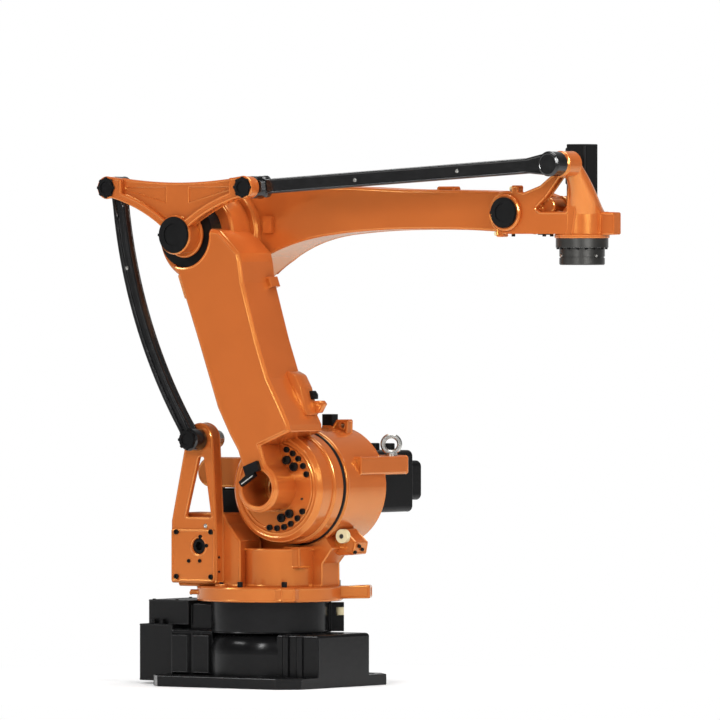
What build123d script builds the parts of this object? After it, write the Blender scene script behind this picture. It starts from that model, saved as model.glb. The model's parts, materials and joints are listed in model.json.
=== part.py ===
from build123d import *

import math
import os

# Four-axis palletising robot. Millimetres. The origin is on the floor at the turning axis,
# +X points along the reach, +Z up, and the rods run on the -Y side.
# "Near" is a distance from the arm's middle plane towards -Y.

# Driving dimensions: the axes of motion
shoulder_offset = 170.0
shoulder_height = 855.0
link_length = 1150.0
link_lean = 20.0
arm_length = 1540.0
arm_rise = 3.5
wrist_offset = 310.0
crank_reach = 363.0
crank_rise = 203.0

# Clearances
seat_gap = 0.3
side_gap = 2.0
running_gap = 5.0
overrun = 20.0

# Base
base_size = 780.0
base_plate_height = 45.0
base_corner = 77.0
foot_inset = 80.0
foot_hole_radius = 13.5
drum_radius = 258.0
drum_height = 140.0
drum_neck_radius = 205.0
dome_slope_share = 0.25
pedestal_bottom = 230.0
pedestal_radius = 256.0
pedestal_height = 365.0
block_width = 372.0
block_length = 218.0
front_block_height = 228.0
rear_block_height = 240.0
block_edge = 14.0
rib_radius = 17.0
rib_from_end = 97.0
rib_spacing = 73.0
rib_drop = 8.0
pad_width = 98.0
pad_spacing = 112.0
pad_height = 176.0
pad_proud = 12.0
pad_taper = 35.0
neck_width = 260.0
neck_top = 345.0
sensor_angle = 36.0
sensor_seat_proud = 8.0
sensor_width = 44.0
sensor_depth = 54.0
sensor_bottom = 232.0
sensor_shelf = 301.0
sensor_lid = 336.0
sensor_top = 356.0
sensor_tip_radius = 17.0

# Boxes behind the base
connection_length = 178.0
connection_width = 360.0
connection_bottom = 15.0
connection_top = 256.0
terminal_clear = 11.0
terminal_inset = 27.0
terminal_width = 300.0
terminal_height = 104.0
box_edge = 8.0
socket_strip_length = 92.0
socket_strip_width = 24.0
socket_strip_height = 4.0
socket_radius = 11.0
socket_height = 22.0
socket_spacing = 46.0

# Turntable
turntable_radius = 314.0
turntable_height = 63.0
turntable_edge = 5.0
stop_reach = 434.0
stop_width = 90.0
stop_drop = 50.0
stop_angle = 30.0
rim_lug_angle = -40.6
rim_lug_width = 136.0
rim_lug_face = 58.0
rim_lug_proud = 22.0
index_pin_angle = 216.0
index_pin_radius = 7.0
index_pin_proud = 30.0

# Column
column_radius = 170.0
column_centre_x = 70.0
column_centre_y = -10.0
hub_clear = 20.0
housing_radius = 254.0
housing_near = 18.0
housing_far = 275.0
housing_edge = 10.0
support_far = 110.0
support_back = 120.0
support_front = 288.0
support_step_height = 100.0
support_flare = 52.0
support_flare_height = 66.0
support_top_shares = (0.50, -0.80)
seat_depth = 150.0
seat_hole_depth = 120.0
seat_clear = 298.0
seat_corner_angles = (231.0, 212.0, 203.0)
stop_lug_length = 81.0
stop_lug_height = 86.0
stop_lug_start = -13.0
stop_lug_near = 117.0
stop_lug_clear = 12.0
wedge_near = -40.0
wedge_far = -130.0
wedge_points_share = (
    (0.45, -0.85),
    (0.75, -0.71),
    (1.00, -0.93),
    (0.96, -1.12),
    (0.65, -1.15),
    (0.45, -1.02),
)
buffer_share = (0.775, -0.825)
buffer_radius = 30.0
buffer_proud = 24.0
arm_rest_length = 370.0
arm_rest_rise = 57.0
arm_rest_radius = 62.0
arm_rest_far = 60.0
top_lug_shares = ((0.10, 0.90), (0.42, 0.80), (0.44, 1.12), (0.21, 1.12), (0.13, 1.02))
top_lug_hole_share = (0.33, 1.03)
top_lug_hole_radius = 12.0
top_lug_near = -180.0
top_lug_width = 36.0
connector_length = 52.0
connector_height = 50.0
connector_pad = 5.0
connector_width = 44.0
gear_ring_radius = 242.0
gear_ring_width = 19.7
lug_bar_inner = 150.0
lug_bar_outer = 255.0
lug_bar_bottom = 52.0
lug_bar_top = 129.0
lug_bar_near = 80.0
lug_bar_far = 428.0
lug_bar_edge = 10.0

# Lifting eye
eye_ring_radius = 36.0
eye_wire_radius = 11.0
eye_wire_edge = 6.0
eye_collar_radius = 26.0
eye_collar_height = 14.0
eye_from_end = 52.0
eye_turn = 36.0

# Motors
shoulder_motor_size = 266.0
shoulder_motor_rise = 15.0
shoulder_motor_length = 365.0
shoulder_motor_end_size = 170.0
shoulder_motor_end_length = 133.0
motor_corner = 26.0
motor_edge = 8.0
turn_motor_size = 130.0
turn_motor_drop = 13.0
turn_motor_x = -208.0
turn_motor_y = 60.0
elbow_motor_size = 156.0
elbow_motor_length = 220.0

# Rod bracket
bracket_thickness = 58.0
bracket_back = 342.0
bracket_front = 105.0
bracket_lift = 15.0
bracket_leg = 352.0
bracket_ear_radius = 70.0
bracket_window_drop = 335.0
bracket_window_back = 74.0
bracket_window_front = 66.0
bracket_window_top_drop = 73.0
bracket_window_top_back = 3.0
bracket_window_top_front = 25.0
bracket_pocket = 32.0
bracket_skin = 18.0
bracket_pad_height = 221.0
bracket_pad_proud = 4.0
bracket_window_corner = 10.0
bracket_hole_radius = 36.0
bracket_hole_share = 0.56
bracket_edge = 6.0
foot_pin_radius = 28.0
foot_pin_proud = 75.0
foot_nut_radius = 38.0

# Link arm. Outline places are shares of the front width and of the length.
link_near = 330.0
link_depth = 240.0
link_front = 213.0
link_front_shares = (
    (1.122, 0.150),
    (1.169, 0.173),
    (1.103, 0.254),
    (1.000, 0.369),
    (1.000, 0.517),
    (1.040, 0.656),
    (1.065, 0.741),
    (1.150, 0.816),
    (1.169, 0.850),
    (0.873, 0.957),
    (0.685, 0.977),
)
link_back_shares = (
    (-0.540, 0.945),
    (-0.399, 0.876),
    (-0.385, 0.609),
    (-0.390, 0.343),
    (-0.296, 0.229),
    (-0.188, 0.143),
)
link_edge = 12.0
link_pad_shares = (0.779, 0.870)
link_pad_share = 0.460
link_lug_shares = (0.718, 0.757)
link_lug_share = 1.16
link_lug_width = 60.0
neck_back = 45.0
neck_front = 74.0
neck_fillet = 40.0
hub_boss_radius = 104.0
hub_bore_radius = 79.0
hub_bore_depth = 165.0
hub_step_radius = 55.0
hub_step_depth = 225.0
hub_disc_radius = 234.0
hub_disc_near = 190.0
hub_disc_edge = 19.0
hub_ring_radius = 245.0
hub_ring_near = 98.0
hub_ring_edge = 8.0
hub_groove_radius = 188.0
hub_groove_width = 6.0
hub_groove_depth = 3.0
barrel_radius = 196.0
barrel_near = 234.0
barrel_edge = 10.0
barrel_flange_radius = 228.0
barrel_flange_width = 36.0
saddle_radius = 142.0
seal_gap = 2.0
elbow_shaft_radius = 60.0
hub_sensor_block_shares = ((-0.25, 0.62), (0.48, 0.62), (0.48, 1.03), (-0.25, 1.03))
hub_sensor_lever_shares = ((0.20, 0.64), (-0.25, 0.64), (-0.66, 0.50), (-0.60, 0.28), (0.20, 0.46))
hub_sensor_depth = 20.0

# Bell crank
crank_web = 32.0
crank_ear_radius = 47.0
crank_ear_foot = -61.0
crank_sag = 28.0
crank_arch = 15.0
crank_lug_length = 73.0
crank_lug_proud = 22.0
crank_rim_width = 30.0
crank_drum_radius = 82.0
crank_drum_angle = 153.0
crank_root_share = 0.85
crank_drum_far = 310.0
crank_collar_radius = 96.0
crank_collar_width = 12.0
crank_pocket_shares = ((0.165, 1.01), (0.757, 1.01), (0.757, 0.96), (0.165, 0.68))
crank_pocket_depth = 4.0
cap_proud = 10.0
cap_edge = 3.0
ear_cap_radius = 41.0
hub_cap_radius = 78.0
cap_recess_share = 0.62
cap_recess_depth = 4.0

# Rods
rod_plane = 294.0
rod_eye_width = 80.0
rod_eye_radius = 48.0
rod_eye_edge = 7.0
rod_pin_radius = 28.0
rear_rod_width = 56.0
rear_rod_bow = 78.0
rod_groove_width = 24.0
rod_groove_depth = 6.0
upper_rod_height = 59.0
rod_thickness = 42.0
collar_start = 12.0
collar_length = 56.0
collar_height = 92.0
collar_thickness = 76.0
collar_corner = 30.0
collar_edge = 12.0
head_eye_radius = 52.0
head_taper = 120.0
head_wall = 16.0

# Forearm. Outline places are shares of the arm's length and of the hub's radius.
arm_width = 134.0
arm_hub_radius = 212.0
arm_hub_edge = 8.0
arm_hub_far = 190.0
arm_thick_share = 0.14
arm_slim_share = 0.40
arm_top_shares = (
    (0.20, 0.985),
    (0.384, 0.967),
    (0.486, 0.953),
    (0.622, 0.910),
    (0.756, 0.896),
    (0.891, 0.877),
)
arm_bottom_shares = (
    (0.891, 0.085),
    (0.756, 0.113),
    (0.622, 0.108),
    (0.520, 0.080),
    (0.418, 0.019),
    (0.350, -0.042),
    (0.281, -0.140),
    (0.212, -0.290),
    (0.150, -0.480),
)
arm_hub_angles = (80.0, -53.0)
arm_end_radius = 86.0
arm_shaft_depth = 120.0
arm_edge = 10.0
arm_stop_length = 46.0
arm_stop_height = 73.0
arm_stop_start = 247.0
arm_stop_rise = 8.0
arm_stop_proud = 18.0
arm_lug_shares = (0.727, 0.782)
arm_lug_width = 44.0
arm_lug_height = 13.0
wrist_pin_radius = 45.0

# Wrist. Outline places are distances from the wrist axis, as shares of the ear's radius.
plate_thickness = 40.0
plate_ear_radius = 90.0
plate_boss_radius = 77.0
plate_boss_proud = 16.0
plate_boss_edge = 4.0
plate_cap_radius = 65.0
plate_cap_proud = 12.0
plate_apex_shares = (0.60, 0.88)
strut_shares = ((3.45, 2.20), (2.478, 1.66), (1.911, 1.244), (0.944, 0.911))
window_shares = ((1.60, 0.20), (2.19, 0.68), (3.02, 1.66), (3.50, 1.60), (3.42, 0.02), (1.90, 0.02))
window_corner = 9.0
plate_end_share = 0.28
# Sections of the rod's tower: height as a share of the crank's rise, how far along the way from
# the tool axis to the rod head, how near, and the half sizes as shares of the ear's radius
tower_section_shares = (
    (-0.045, 0.00, 0.02, 1.20, 1.19),
    (0.18, 0.76, 0.18, 0.80, 0.78),
    (0.44, 1.03, 0.32, 0.64, 0.62),
    (0.79, 1.03, 0.50, 0.53, 0.52),
    (1.00, 1.00, 0.66, 0.51, 0.50),
)
tower_back_share = 0.55
tower_radius = 54.0
tower_edge = 10.0
tube_share = (2.06, 0.30)
tube_radius = 34.0
tube_step_radius = 42.0
tube_step_share = 0.36
flange_body_radius = 112.0
flange_body_drop = 106.0
flange_collar_radius = 115.0
flange_collar_height = 14.0
front_lug_reach = 180.0
front_lug_width = 46.0
front_lug_height = 88.0
buffer_block_length = 29.0
buffer_block_start = 28.0
buffer_block_top = 112.0
lower_block_start = -50.0
lower_block_end = -20.0
lower_block_bottom = 100.0
small_buffer_radius = 10.0
small_buffer_length = 20.0
small_buffer_inset = 1.0
tool_motor_size = 100.0
tool_motor_rise = 288.0
tool_motor_corner = 12.0
motor_socket_width = 40.0
motor_socket_length = 20.0
motor_socket_shares = (0.42, 0.94)
wrist_gear_height = 41.7
wrist_gear_radius = 111.0

# Tool flange
tool_flange_radius = 96.0
tool_flange_height = 72.7
tool_flange_edge = 4.0
tool_groove_share = 0.42
tool_groove_width = 5.0
tool_groove_depth = 4.0
tool_bore_radius = 50.0
tool_bore_depth = 8.0
tool_bolt_circle_radius = 80.0
tool_bolt_count = 12
tool_hole_radius = 6.0
tool_hole_depth = 18.0

# Places worked out from the driving dimensions
lean = math.radians(link_lean)
rise = math.radians(arm_rise)
elbow_x = shoulder_offset - link_length * math.sin(lean)
elbow_z = shoulder_height + link_length * math.cos(lean)
wrist_x = elbow_x + arm_length * math.cos(rise)
wrist_z = elbow_z + arm_length * math.sin(rise)
tool_x = wrist_x + wrist_offset
base_half = base_size / 2
foot_spacing = base_size - 2 * foot_inset
turntable_bottom = pedestal_height + seat_gap
turntable_top = turntable_bottom + turntable_height
hub_clear_height = shoulder_height - hub_ring_radius - hub_clear
link_far = link_near - link_depth
barrel_far = arm_width / 2 + seat_gap
gear_ring_near = housing_near + gear_ring_width
hub_ring_far = gear_ring_near + seat_gap
rod_eye_near = rod_plane + rod_eye_width / 2
rod_eye_far = rod_plane - rod_eye_width / 2
crank_far = rod_eye_near + side_gap
crank_face = crank_far + crank_web
crank_near = crank_face + crank_lug_proud
crank_ear_z = elbow_z + crank_rise
rod_foot_x = shoulder_offset - crank_reach
rod_foot_z = shoulder_height + crank_rise
rod_head_x = wrist_x + crank_reach
rod_head_z = wrist_z + crank_rise
bracket_near = rod_eye_far - side_gap
bracket_far = bracket_near - bracket_thickness
bracket_bottom = turntable_top + bracket_lift
bracket_waist = rod_foot_z - bracket_leg
window_bottom = rod_foot_z - bracket_window_drop
window_top = rod_foot_z - bracket_window_top_drop
bracket_hole_z = bracket_bottom + bracket_hole_share * (window_bottom - bracket_bottom)
plate_inner = arm_width / 2 + running_gap
plate_outer = plate_inner + plate_thickness
tower_near = rod_eye_far - side_gap
flange_body_bottom = wrist_z - flange_body_drop
gear_bottom = flange_body_bottom - wrist_gear_height
tool_flange_top = gear_bottom - seat_gap
tool_flange_bottom = tool_flange_top - tool_flange_height
terminal_inner = turntable_radius + terminal_clear
terminal_outer = base_half + connection_length - terminal_inset
sensor_inner = pedestal_radius + sensor_seat_proud
sensor_back = sensor_depth - 2 * sensor_tip_radius - seat_gap


def side_plane(near, x=0.0, z=0.0):
    """Upright plane that looks at the -Y side, `near` in front of the arm's middle plane."""
    return Plane(origin=(x, -near, z), x_dir=(1, 0, 0), z_dir=(0, -1, 0))


def link_plane(near):
    """Side plane at the shoulder axis, with its second direction along the link arm."""
    return Plane(
        origin=(shoulder_offset, -near, shoulder_height),
        x_dir=(math.cos(lean), 0, math.sin(lean)),
        z_dir=(0, -1, 0),
    )


def polar(radius, degrees):
    """Place on a circle, in the plane at hand."""
    return radius * math.cos(math.radians(degrees)), radius * math.sin(math.radians(degrees))


def scaled(shares, across, along):
    """Outline points from a table of shares."""
    return [(share[0] * across, share[1] * along) for share in shares]


def turned(profile, x, z):
    """Round body about a cross axis, from points of radius and near distance."""
    with BuildPart() as body:
        with BuildSketch(Plane(origin=(x, 0, z), x_dir=(1, 0, 0), z_dir=(0, 0, -1))):
            with BuildLine():
                Polyline(*profile, close=True)
            make_face()
        revolve(axis=Axis((x, 0, z), (0, 1, 0)))
    return body.part


def save(piece, name):
    piece.label = name
    export_step(piece, f"parts/{name}.step")


os.makedirs("parts", exist_ok=True)


# Base: foot plate, domed drum, pedestal and the two end blocks in one casting
with BuildPart() as base_casting:
    with BuildSketch() as foot:
        Rectangle(base_size, base_size)
        chamfer(foot.vertices(), length=base_corner)
    extrude(amount=base_plate_height)
    with BuildSketch():
        with Locations((base_half - block_length / 2, 0)):
            Rectangle(block_length, block_width)
    extrude(amount=front_block_height)
    with BuildSketch():
        with Locations((block_length / 2 - base_half, 0)):
            Rectangle(block_length, block_width)
    extrude(amount=rear_block_height)
    front_top = base_casting.faces().filter_by(Axis.Z).filter_by_position(
        Axis.Z, front_block_height - seat_gap, front_block_height + seat_gap
    )
    rear_top = base_casting.faces().filter_by(Axis.Z).filter_by_position(
        Axis.Z, rear_block_height - seat_gap, rear_block_height + seat_gap
    )
    fillet((front_top + rear_top).edges(), radius=block_edge)
    with BuildSketch(Plane.XZ):
        with BuildLine():
            Polyline((0, 0), (drum_radius, 0), (drum_radius, drum_height))
            Spline(
                (drum_radius, drum_height),
                (drum_neck_radius, pedestal_bottom),
                tangents=((0, 1), (-1, dome_slope_share)),
            )
            Polyline(
                (drum_neck_radius, pedestal_bottom),
                (pedestal_radius, pedestal_bottom),
                (pedestal_radius, pedestal_height),
                (0, pedestal_height),
                (0, 0),
            )
        make_face()
    revolve(axis=Axis.Z)
    with BuildSketch(Plane.XY.offset(base_plate_height)):
        for rib_side in (-1, 1):
            for rib_step in (0, 1):
                rib_x = base_half - rib_from_end - rib_step * rib_spacing
                with Locations((rib_x, rib_side * block_width / 2)):
                    Circle(rib_radius)
    extrude(amount=front_block_height - base_plate_height - rib_drop)
    for pad_side in (-1, 1):
        pad_plane = Plane(
            origin=(block_length / 2 - base_half, pad_side * block_width / 2, base_plate_height),
            x_dir=(-pad_side, 0, 0),
            z_dir=(0, pad_side, 0),
        )
        with BuildSketch(pad_plane):
            with Locations((-pad_spacing / 2, pad_height / 2), (pad_spacing / 2, pad_height / 2)):
                Rectangle(pad_width, pad_height)
        extrude(amount=pad_proud, taper=pad_taper)
    with BuildSketch(Plane.XY.offset(base_plate_height)):
        with Locations((-terminal_inner / 2, 0)):
            Rectangle(terminal_inner, neck_width)
    extrude(amount=neck_top - base_plate_height)
    with BuildSketch(Plane.XY.offset(sensor_bottom).rotated((0, 0, sensor_angle))):
        with Locations((sensor_inner / 2, 0)):
            Rectangle(sensor_inner, sensor_width)
    extrude(amount=sensor_top - sensor_bottom)
    with Locations((0, 0, base_plate_height)), GridLocations(foot_spacing, foot_spacing, 2, 2):
        Hole(foot_hole_radius)
save(base_casting.part, "base_casting")

# Boxes for the supply connections behind the base
with BuildPart() as connection_box:
    with BuildSketch(Plane.XY.offset(connection_bottom)):
        with Locations((-base_half - connection_length / 2, 0)):
            Rectangle(connection_length, connection_width)
    extrude(amount=connection_top - connection_bottom)
    fillet(connection_box.edges().filter_by(Axis.Z).group_by(Axis.X)[0], radius=box_edge)
save(connection_box.part, "connection_box")

with BuildPart() as terminal_box:
    with BuildSketch(Plane.XY.offset(connection_top)):
        with Locations((-(terminal_outer + terminal_inner) / 2, 0)):
            Rectangle(terminal_outer - terminal_inner, terminal_width)
    extrude(amount=terminal_height)
    fillet(terminal_box.edges().filter_by(Axis.Z), radius=box_edge)
save(terminal_box.part, "terminal_box")

socket_x = -base_half - connection_length / 2
socket_y = (connection_width + terminal_width) / 4
with BuildPart() as supply_sockets:
    with BuildSketch(Plane((socket_x, -socket_y, connection_top))):
        Rectangle(socket_strip_length, socket_strip_width)
    extrude(amount=socket_strip_height)
    with BuildSketch(Plane((socket_x, -socket_y, connection_top))):
        with Locations((-socket_spacing / 2, 0), (socket_spacing / 2, 0)):
            Circle(socket_radius)
    extrude(amount=socket_height)
save(supply_sockets.part, "supply_sockets")

# Switch beside the pedestal that feels the end of the turn
with BuildPart() as turn_sensor:
    with BuildSketch(Plane.XY.offset(sensor_bottom).rotated((0, 0, sensor_angle))):
        with Locations((sensor_inner + sensor_depth / 2, 0)):
            Rectangle(sensor_depth, sensor_width)
    extrude(amount=sensor_top - sensor_bottom)
    with BuildSketch(Plane.XY.offset(sensor_shelf).rotated((0, 0, sensor_angle))):
        with Locations((sensor_inner + sensor_back + sensor_depth / 2, 0)):
            Rectangle(sensor_depth, sensor_width)
    extrude(amount=sensor_lid - sensor_shelf, mode=Mode.SUBTRACT)
save(turn_sensor.part, "turn_sensor")

with BuildPart() as sensor_tip:
    with BuildSketch(Plane.XY.offset(sensor_shelf).rotated((0, 0, sensor_angle))):
        with Locations((sensor_inner + (sensor_back + sensor_depth) / 2, 0)):
            Circle(sensor_tip_radius)
    extrude(amount=sensor_lid - sensor_shelf)
save(sensor_tip.part, "sensor_tip")

# Turntable: round plate with a stop bar, a bevelled lug and an index pin on its rim
with BuildPart() as turntable:
    with BuildSketch(Plane.XY.offset(turntable_bottom)):
        Circle(turntable_radius)
    extrude(amount=turntable_height)
    chamfer(turntable.edges().filter_by(GeomType.CIRCLE), length=turntable_edge)
    with BuildSketch(Plane.XY.offset(turntable_top - stop_drop).rotated((0, 0, stop_angle))):
        with Locations(((turntable_radius + stop_reach) / 2 - overrun, 0)):
            Rectangle(stop_reach - turntable_radius + 2 * overrun, stop_width)
    extrude(amount=stop_drop)
    with BuildSketch(Plane.XY.offset(turntable_bottom + turntable_edge).rotated((0, 0, rim_lug_angle))):
        with BuildLine():
            Polyline(
                (turntable_radius - overrun, rim_lug_width / 2),
                (turntable_radius - overrun, -rim_lug_width / 2),
                (turntable_radius + rim_lug_proud, -rim_lug_face / 2),
                (turntable_radius + rim_lug_proud, rim_lug_face / 2),
                close=True,
            )
        make_face()
    extrude(amount=turntable_height - 2 * turntable_edge)
    pin_x, pin_y = polar(turntable_radius - overrun, index_pin_angle)
    pin_plane = Plane(
        origin=(pin_x, pin_y, turntable_bottom + turntable_height / 2),
        z_dir=(pin_x, pin_y, 0),
    )
    with BuildSketch(pin_plane):
        Circle(index_pin_radius)
    extrude(amount=overrun + index_pin_proud)
save(turntable.part, "turntable")

# Column: drum on the turntable, support wall, shoulder housing and the seat of the rod bracket
seat_corners = [polar(seat_clear, angle) for angle in seat_corner_angles]
seat_points = [(shoulder_offset + corner[0], shoulder_height + corner[1]) for corner in seat_corners]
wedge_points = scaled(wedge_points_share, housing_radius, housing_radius)
top_lug_points = scaled(top_lug_shares, housing_radius, housing_radius)
connector_near = top_lug_near + (top_lug_width - connector_width) / 2
connector_bottom = housing_radius + connector_pad
with BuildPart() as column_casting:
    with BuildSketch(Plane.XY.offset(turntable_top)):
        with Locations((column_centre_x, column_centre_y)):
            Circle(column_radius)
    extrude(amount=hub_clear_height - turntable_top)
    with BuildSketch(side_plane(-support_far)):
        with BuildLine():
            Polyline(
                (-support_back, turntable_top),
                (support_front, turntable_top),
                (support_front, turntable_top + support_step_height),
                (
                    support_front + support_flare,
                    turntable_top + support_step_height + support_flare_height,
                ),
                (
                    shoulder_offset + support_top_shares[0] * housing_radius,
                    shoulder_height + support_top_shares[1] * housing_radius,
                ),
                (shoulder_offset, shoulder_height),
                (shoulder_offset - housing_radius + housing_edge, shoulder_height),
                close=True,
            )
        make_face()
    extrude(amount=support_far + housing_near)
    add(
        turned(
            [
                (0, housing_near),
                (housing_radius - housing_edge, housing_near),
                (housing_radius, housing_near - housing_edge),
                (housing_radius, housing_edge - housing_far),
                (housing_radius - housing_edge, -housing_far),
                (0, -housing_far),
            ],
            shoulder_offset,
            shoulder_height,
        )
    )
    with BuildSketch(side_plane(bracket_far - seat_depth)):
        with BuildLine():
            Polyline(
                (-bracket_back, turntable_top),
                (seat_points[0][0], turntable_top),
                *seat_points,
                (-bracket_back, seat_points[-1][1]),
                close=True,
            )
        make_face()
    extrude(amount=seat_depth)
    with BuildSketch(side_plane(bracket_far - seat_hole_depth, rod_foot_x, bracket_hole_z)):
        Circle(bracket_hole_radius)
    extrude(amount=seat_hole_depth, mode=Mode.SUBTRACT)
    lug_middle = shoulder_offset + stop_lug_start + stop_lug_length / 2
    lug_top = shoulder_height - hub_ring_radius - stop_lug_clear
    with BuildSketch(side_plane(-support_far)):
        with Locations((lug_middle, lug_top - stop_lug_height / 2)):
            Rectangle(stop_lug_length, stop_lug_height)
    extrude(amount=support_far + stop_lug_near)
    with BuildSketch(side_plane(wedge_far, shoulder_offset, shoulder_height)):
        with BuildLine():
            Polyline(*wedge_points, close=True)
        make_face()
    extrude(amount=wedge_near - wedge_far)
    with BuildSketch(side_plane(-arm_rest_far, shoulder_offset, shoulder_height + arm_rest_rise)):
        with Locations((-(shoulder_offset + arm_rest_length - arm_rest_radius) / 2, 0)):
            SlotCenterToCenter(shoulder_offset + arm_rest_length - arm_rest_radius, 2 * arm_rest_radius)
    extrude(amount=arm_rest_far + housing_near)
    with BuildSketch(side_plane(top_lug_near - top_lug_width, shoulder_offset, shoulder_height)):
        with BuildLine():
            Polyline(*top_lug_points, close=True)
        make_face()
        with Locations((top_lug_hole_share[0] * housing_radius, top_lug_hole_share[1] * housing_radius)):
            Circle(top_lug_hole_radius, mode=Mode.SUBTRACT)
    extrude(amount=top_lug_width)
    with BuildSketch(side_plane(connector_near - connector_width, shoulder_offset, shoulder_height)):
        with Locations((0, connector_bottom / 2)):
            Rectangle(connector_length, connector_bottom)
    extrude(amount=connector_width)
    with BuildSketch(side_plane(-lug_bar_far, shoulder_offset, shoulder_height)) as lug_bar:
        with Locations(((lug_bar_inner + lug_bar_outer) / 2, (lug_bar_bottom + lug_bar_top) / 2)):
            Rectangle(lug_bar_outer - lug_bar_inner, lug_bar_top - lug_bar_bottom)
        fillet(lug_bar.vertices().group_by(Axis.X)[-1], radius=lug_bar_edge)
    extrude(amount=lug_bar_far - lug_bar_near)
save(column_casting.part, "column_casting")

with BuildPart() as stop_buffer:
    with BuildSketch(
        side_plane(
            wedge_near,
            shoulder_offset + buffer_share[0] * housing_radius,
            shoulder_height + buffer_share[1] * housing_radius,
        )
    ):
        Circle(buffer_radius)
    extrude(amount=buffer_proud)
save(stop_buffer.part, "stop_buffer")

with BuildPart() as housing_connector:
    connector_z = shoulder_height + connector_bottom
    with BuildSketch(side_plane(connector_near - connector_width, shoulder_offset, connector_z)):
        with Locations((0, connector_height / 2)):
            Rectangle(connector_length, connector_height)
    extrude(amount=connector_width)
save(housing_connector.part, "housing_connector")

with BuildPart() as shoulder_gear_ring:
    with BuildSketch(side_plane(housing_near, shoulder_offset, shoulder_height)):
        Circle(gear_ring_radius)
    extrude(amount=gear_ring_width)
save(shoulder_gear_ring.part, "shoulder_gear_ring")

# Lifting eye on the end of the lug bar
eye_x = shoulder_offset + (lug_bar_inner + lug_bar_outer) / 2
eye_y = lug_bar_far - eye_from_end
eye_z = shoulder_height + lug_bar_top
eye_facing = (math.sin(math.radians(eye_turn)), -math.cos(math.radians(eye_turn)), 0)
eye_plane = Plane(
    origin=(eye_x, eye_y, eye_z + eye_collar_height + eye_ring_radius),
    x_dir=(-eye_facing[1], eye_facing[0], 0),
    z_dir=eye_facing,
)
with BuildPart() as lifting_eye:
    with BuildSketch(eye_plane.offset(-eye_wire_radius)):
        Circle(eye_ring_radius + eye_wire_radius)
        Circle(eye_ring_radius - eye_wire_radius, mode=Mode.SUBTRACT)
    extrude(amount=2 * eye_wire_radius)
    chamfer(lifting_eye.edges(), length=eye_wire_edge)
    with BuildSketch(Plane((eye_x, eye_y, eye_z))):
        Circle(eye_collar_radius)
    extrude(amount=eye_collar_height)
save(lifting_eye.part, "lifting_eye")

# Shoulder motor, coaxial with the shoulder, and its end box
motor_z = shoulder_height + shoulder_motor_rise
with BuildPart() as shoulder_motor:
    with BuildSketch(side_plane(-housing_far - shoulder_motor_length, shoulder_offset, motor_z)):
        RectangleRounded(shoulder_motor_size, shoulder_motor_size, motor_corner)
    extrude(amount=shoulder_motor_length)
    chamfer(shoulder_motor.faces().sort_by(Axis.Y)[-1].edges(), length=motor_edge)
save(shoulder_motor.part, "shoulder_motor")

motor_end = housing_far + shoulder_motor_length
with BuildPart() as shoulder_motor_end:
    with BuildSketch(side_plane(-motor_end - shoulder_motor_end_length, shoulder_offset, motor_z)):
        RectangleRounded(shoulder_motor_end_size, shoulder_motor_end_size, motor_corner)
    extrude(amount=shoulder_motor_end_length)
    chamfer(shoulder_motor_end.faces().sort_by(Axis.Y)[-1].edges(), length=motor_edge)
save(shoulder_motor_end.part, "shoulder_motor_end")

with BuildPart() as turn_motor:
    with BuildSketch(Plane((turn_motor_x, turn_motor_y, turntable_top))):
        RectangleRounded(turn_motor_size, turn_motor_size, motor_corner)
    extrude(amount=shoulder_height - turn_motor_drop - turntable_top)
    chamfer(turn_motor.faces().sort_by(Axis.Z)[-1].edges(), length=motor_edge)
save(turn_motor.part, "turn_motor")

# Rod bracket: A-frame plate bolted to the column, with the lower pivot of the rear rod at its top
with BuildPart() as rod_bracket:
    with BuildSketch(side_plane(bracket_far)) as a_frame:
        with BuildLine():
            Polyline(
                (-bracket_back, bracket_bottom),
                (-bracket_front, bracket_bottom),
                (-bracket_front, bracket_waist),
                (-bracket_back, bracket_waist),
                close=True,
            )
        make_face()
        with Locations((rod_foot_x, rod_foot_z)):
            Circle(bracket_ear_radius)
        make_hull()
    extrude(amount=bracket_thickness)
    chamfer(rod_bracket.faces().sort_by(Axis.Y)[0].edges(), length=bracket_edge)
    pad_z = bracket_bottom + bracket_edge + bracket_pad_height / 2
    with BuildSketch(side_plane(bracket_near)):
        with Locations((-(bracket_back + bracket_front) / 2, pad_z)):
            Rectangle(bracket_back - bracket_front - 2 * bracket_edge, bracket_pad_height)
    extrude(amount=bracket_pad_proud)
    with BuildSketch(side_plane(bracket_far - overrun)) as frame_pocket:
        with BuildLine():
            Polyline(
                (rod_foot_x - bracket_window_back - bracket_pocket, window_bottom),
                (rod_foot_x + bracket_window_front, window_bottom),
                (rod_foot_x + bracket_window_top_front, window_top),
                (rod_foot_x - bracket_window_top_back - bracket_pocket, window_top),
                close=True,
            )
        make_face()
        fillet(frame_pocket.vertices(), radius=bracket_window_corner)
    extrude(amount=overrun + bracket_thickness - bracket_skin, mode=Mode.SUBTRACT)
    with BuildSketch(side_plane(bracket_far - overrun)) as frame_window:
        with BuildLine():
            Polyline(
                (rod_foot_x - bracket_window_back, window_bottom),
                (rod_foot_x + bracket_window_front, window_bottom),
                (rod_foot_x + bracket_window_top_front, window_top),
                (rod_foot_x - bracket_window_top_back, window_top),
                close=True,
            )
        make_face()
        fillet(frame_window.vertices(), radius=bracket_window_corner)
        with Locations((rod_foot_x, bracket_hole_z)):
            Circle(bracket_hole_radius)
        with Locations((rod_foot_x, rod_foot_z)):
            Circle(foot_pin_radius + seat_gap)
    extrude(amount=bracket_thickness + bracket_pad_proud + 2 * overrun, mode=Mode.SUBTRACT)
save(rod_bracket.part, "rod_bracket")

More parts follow.
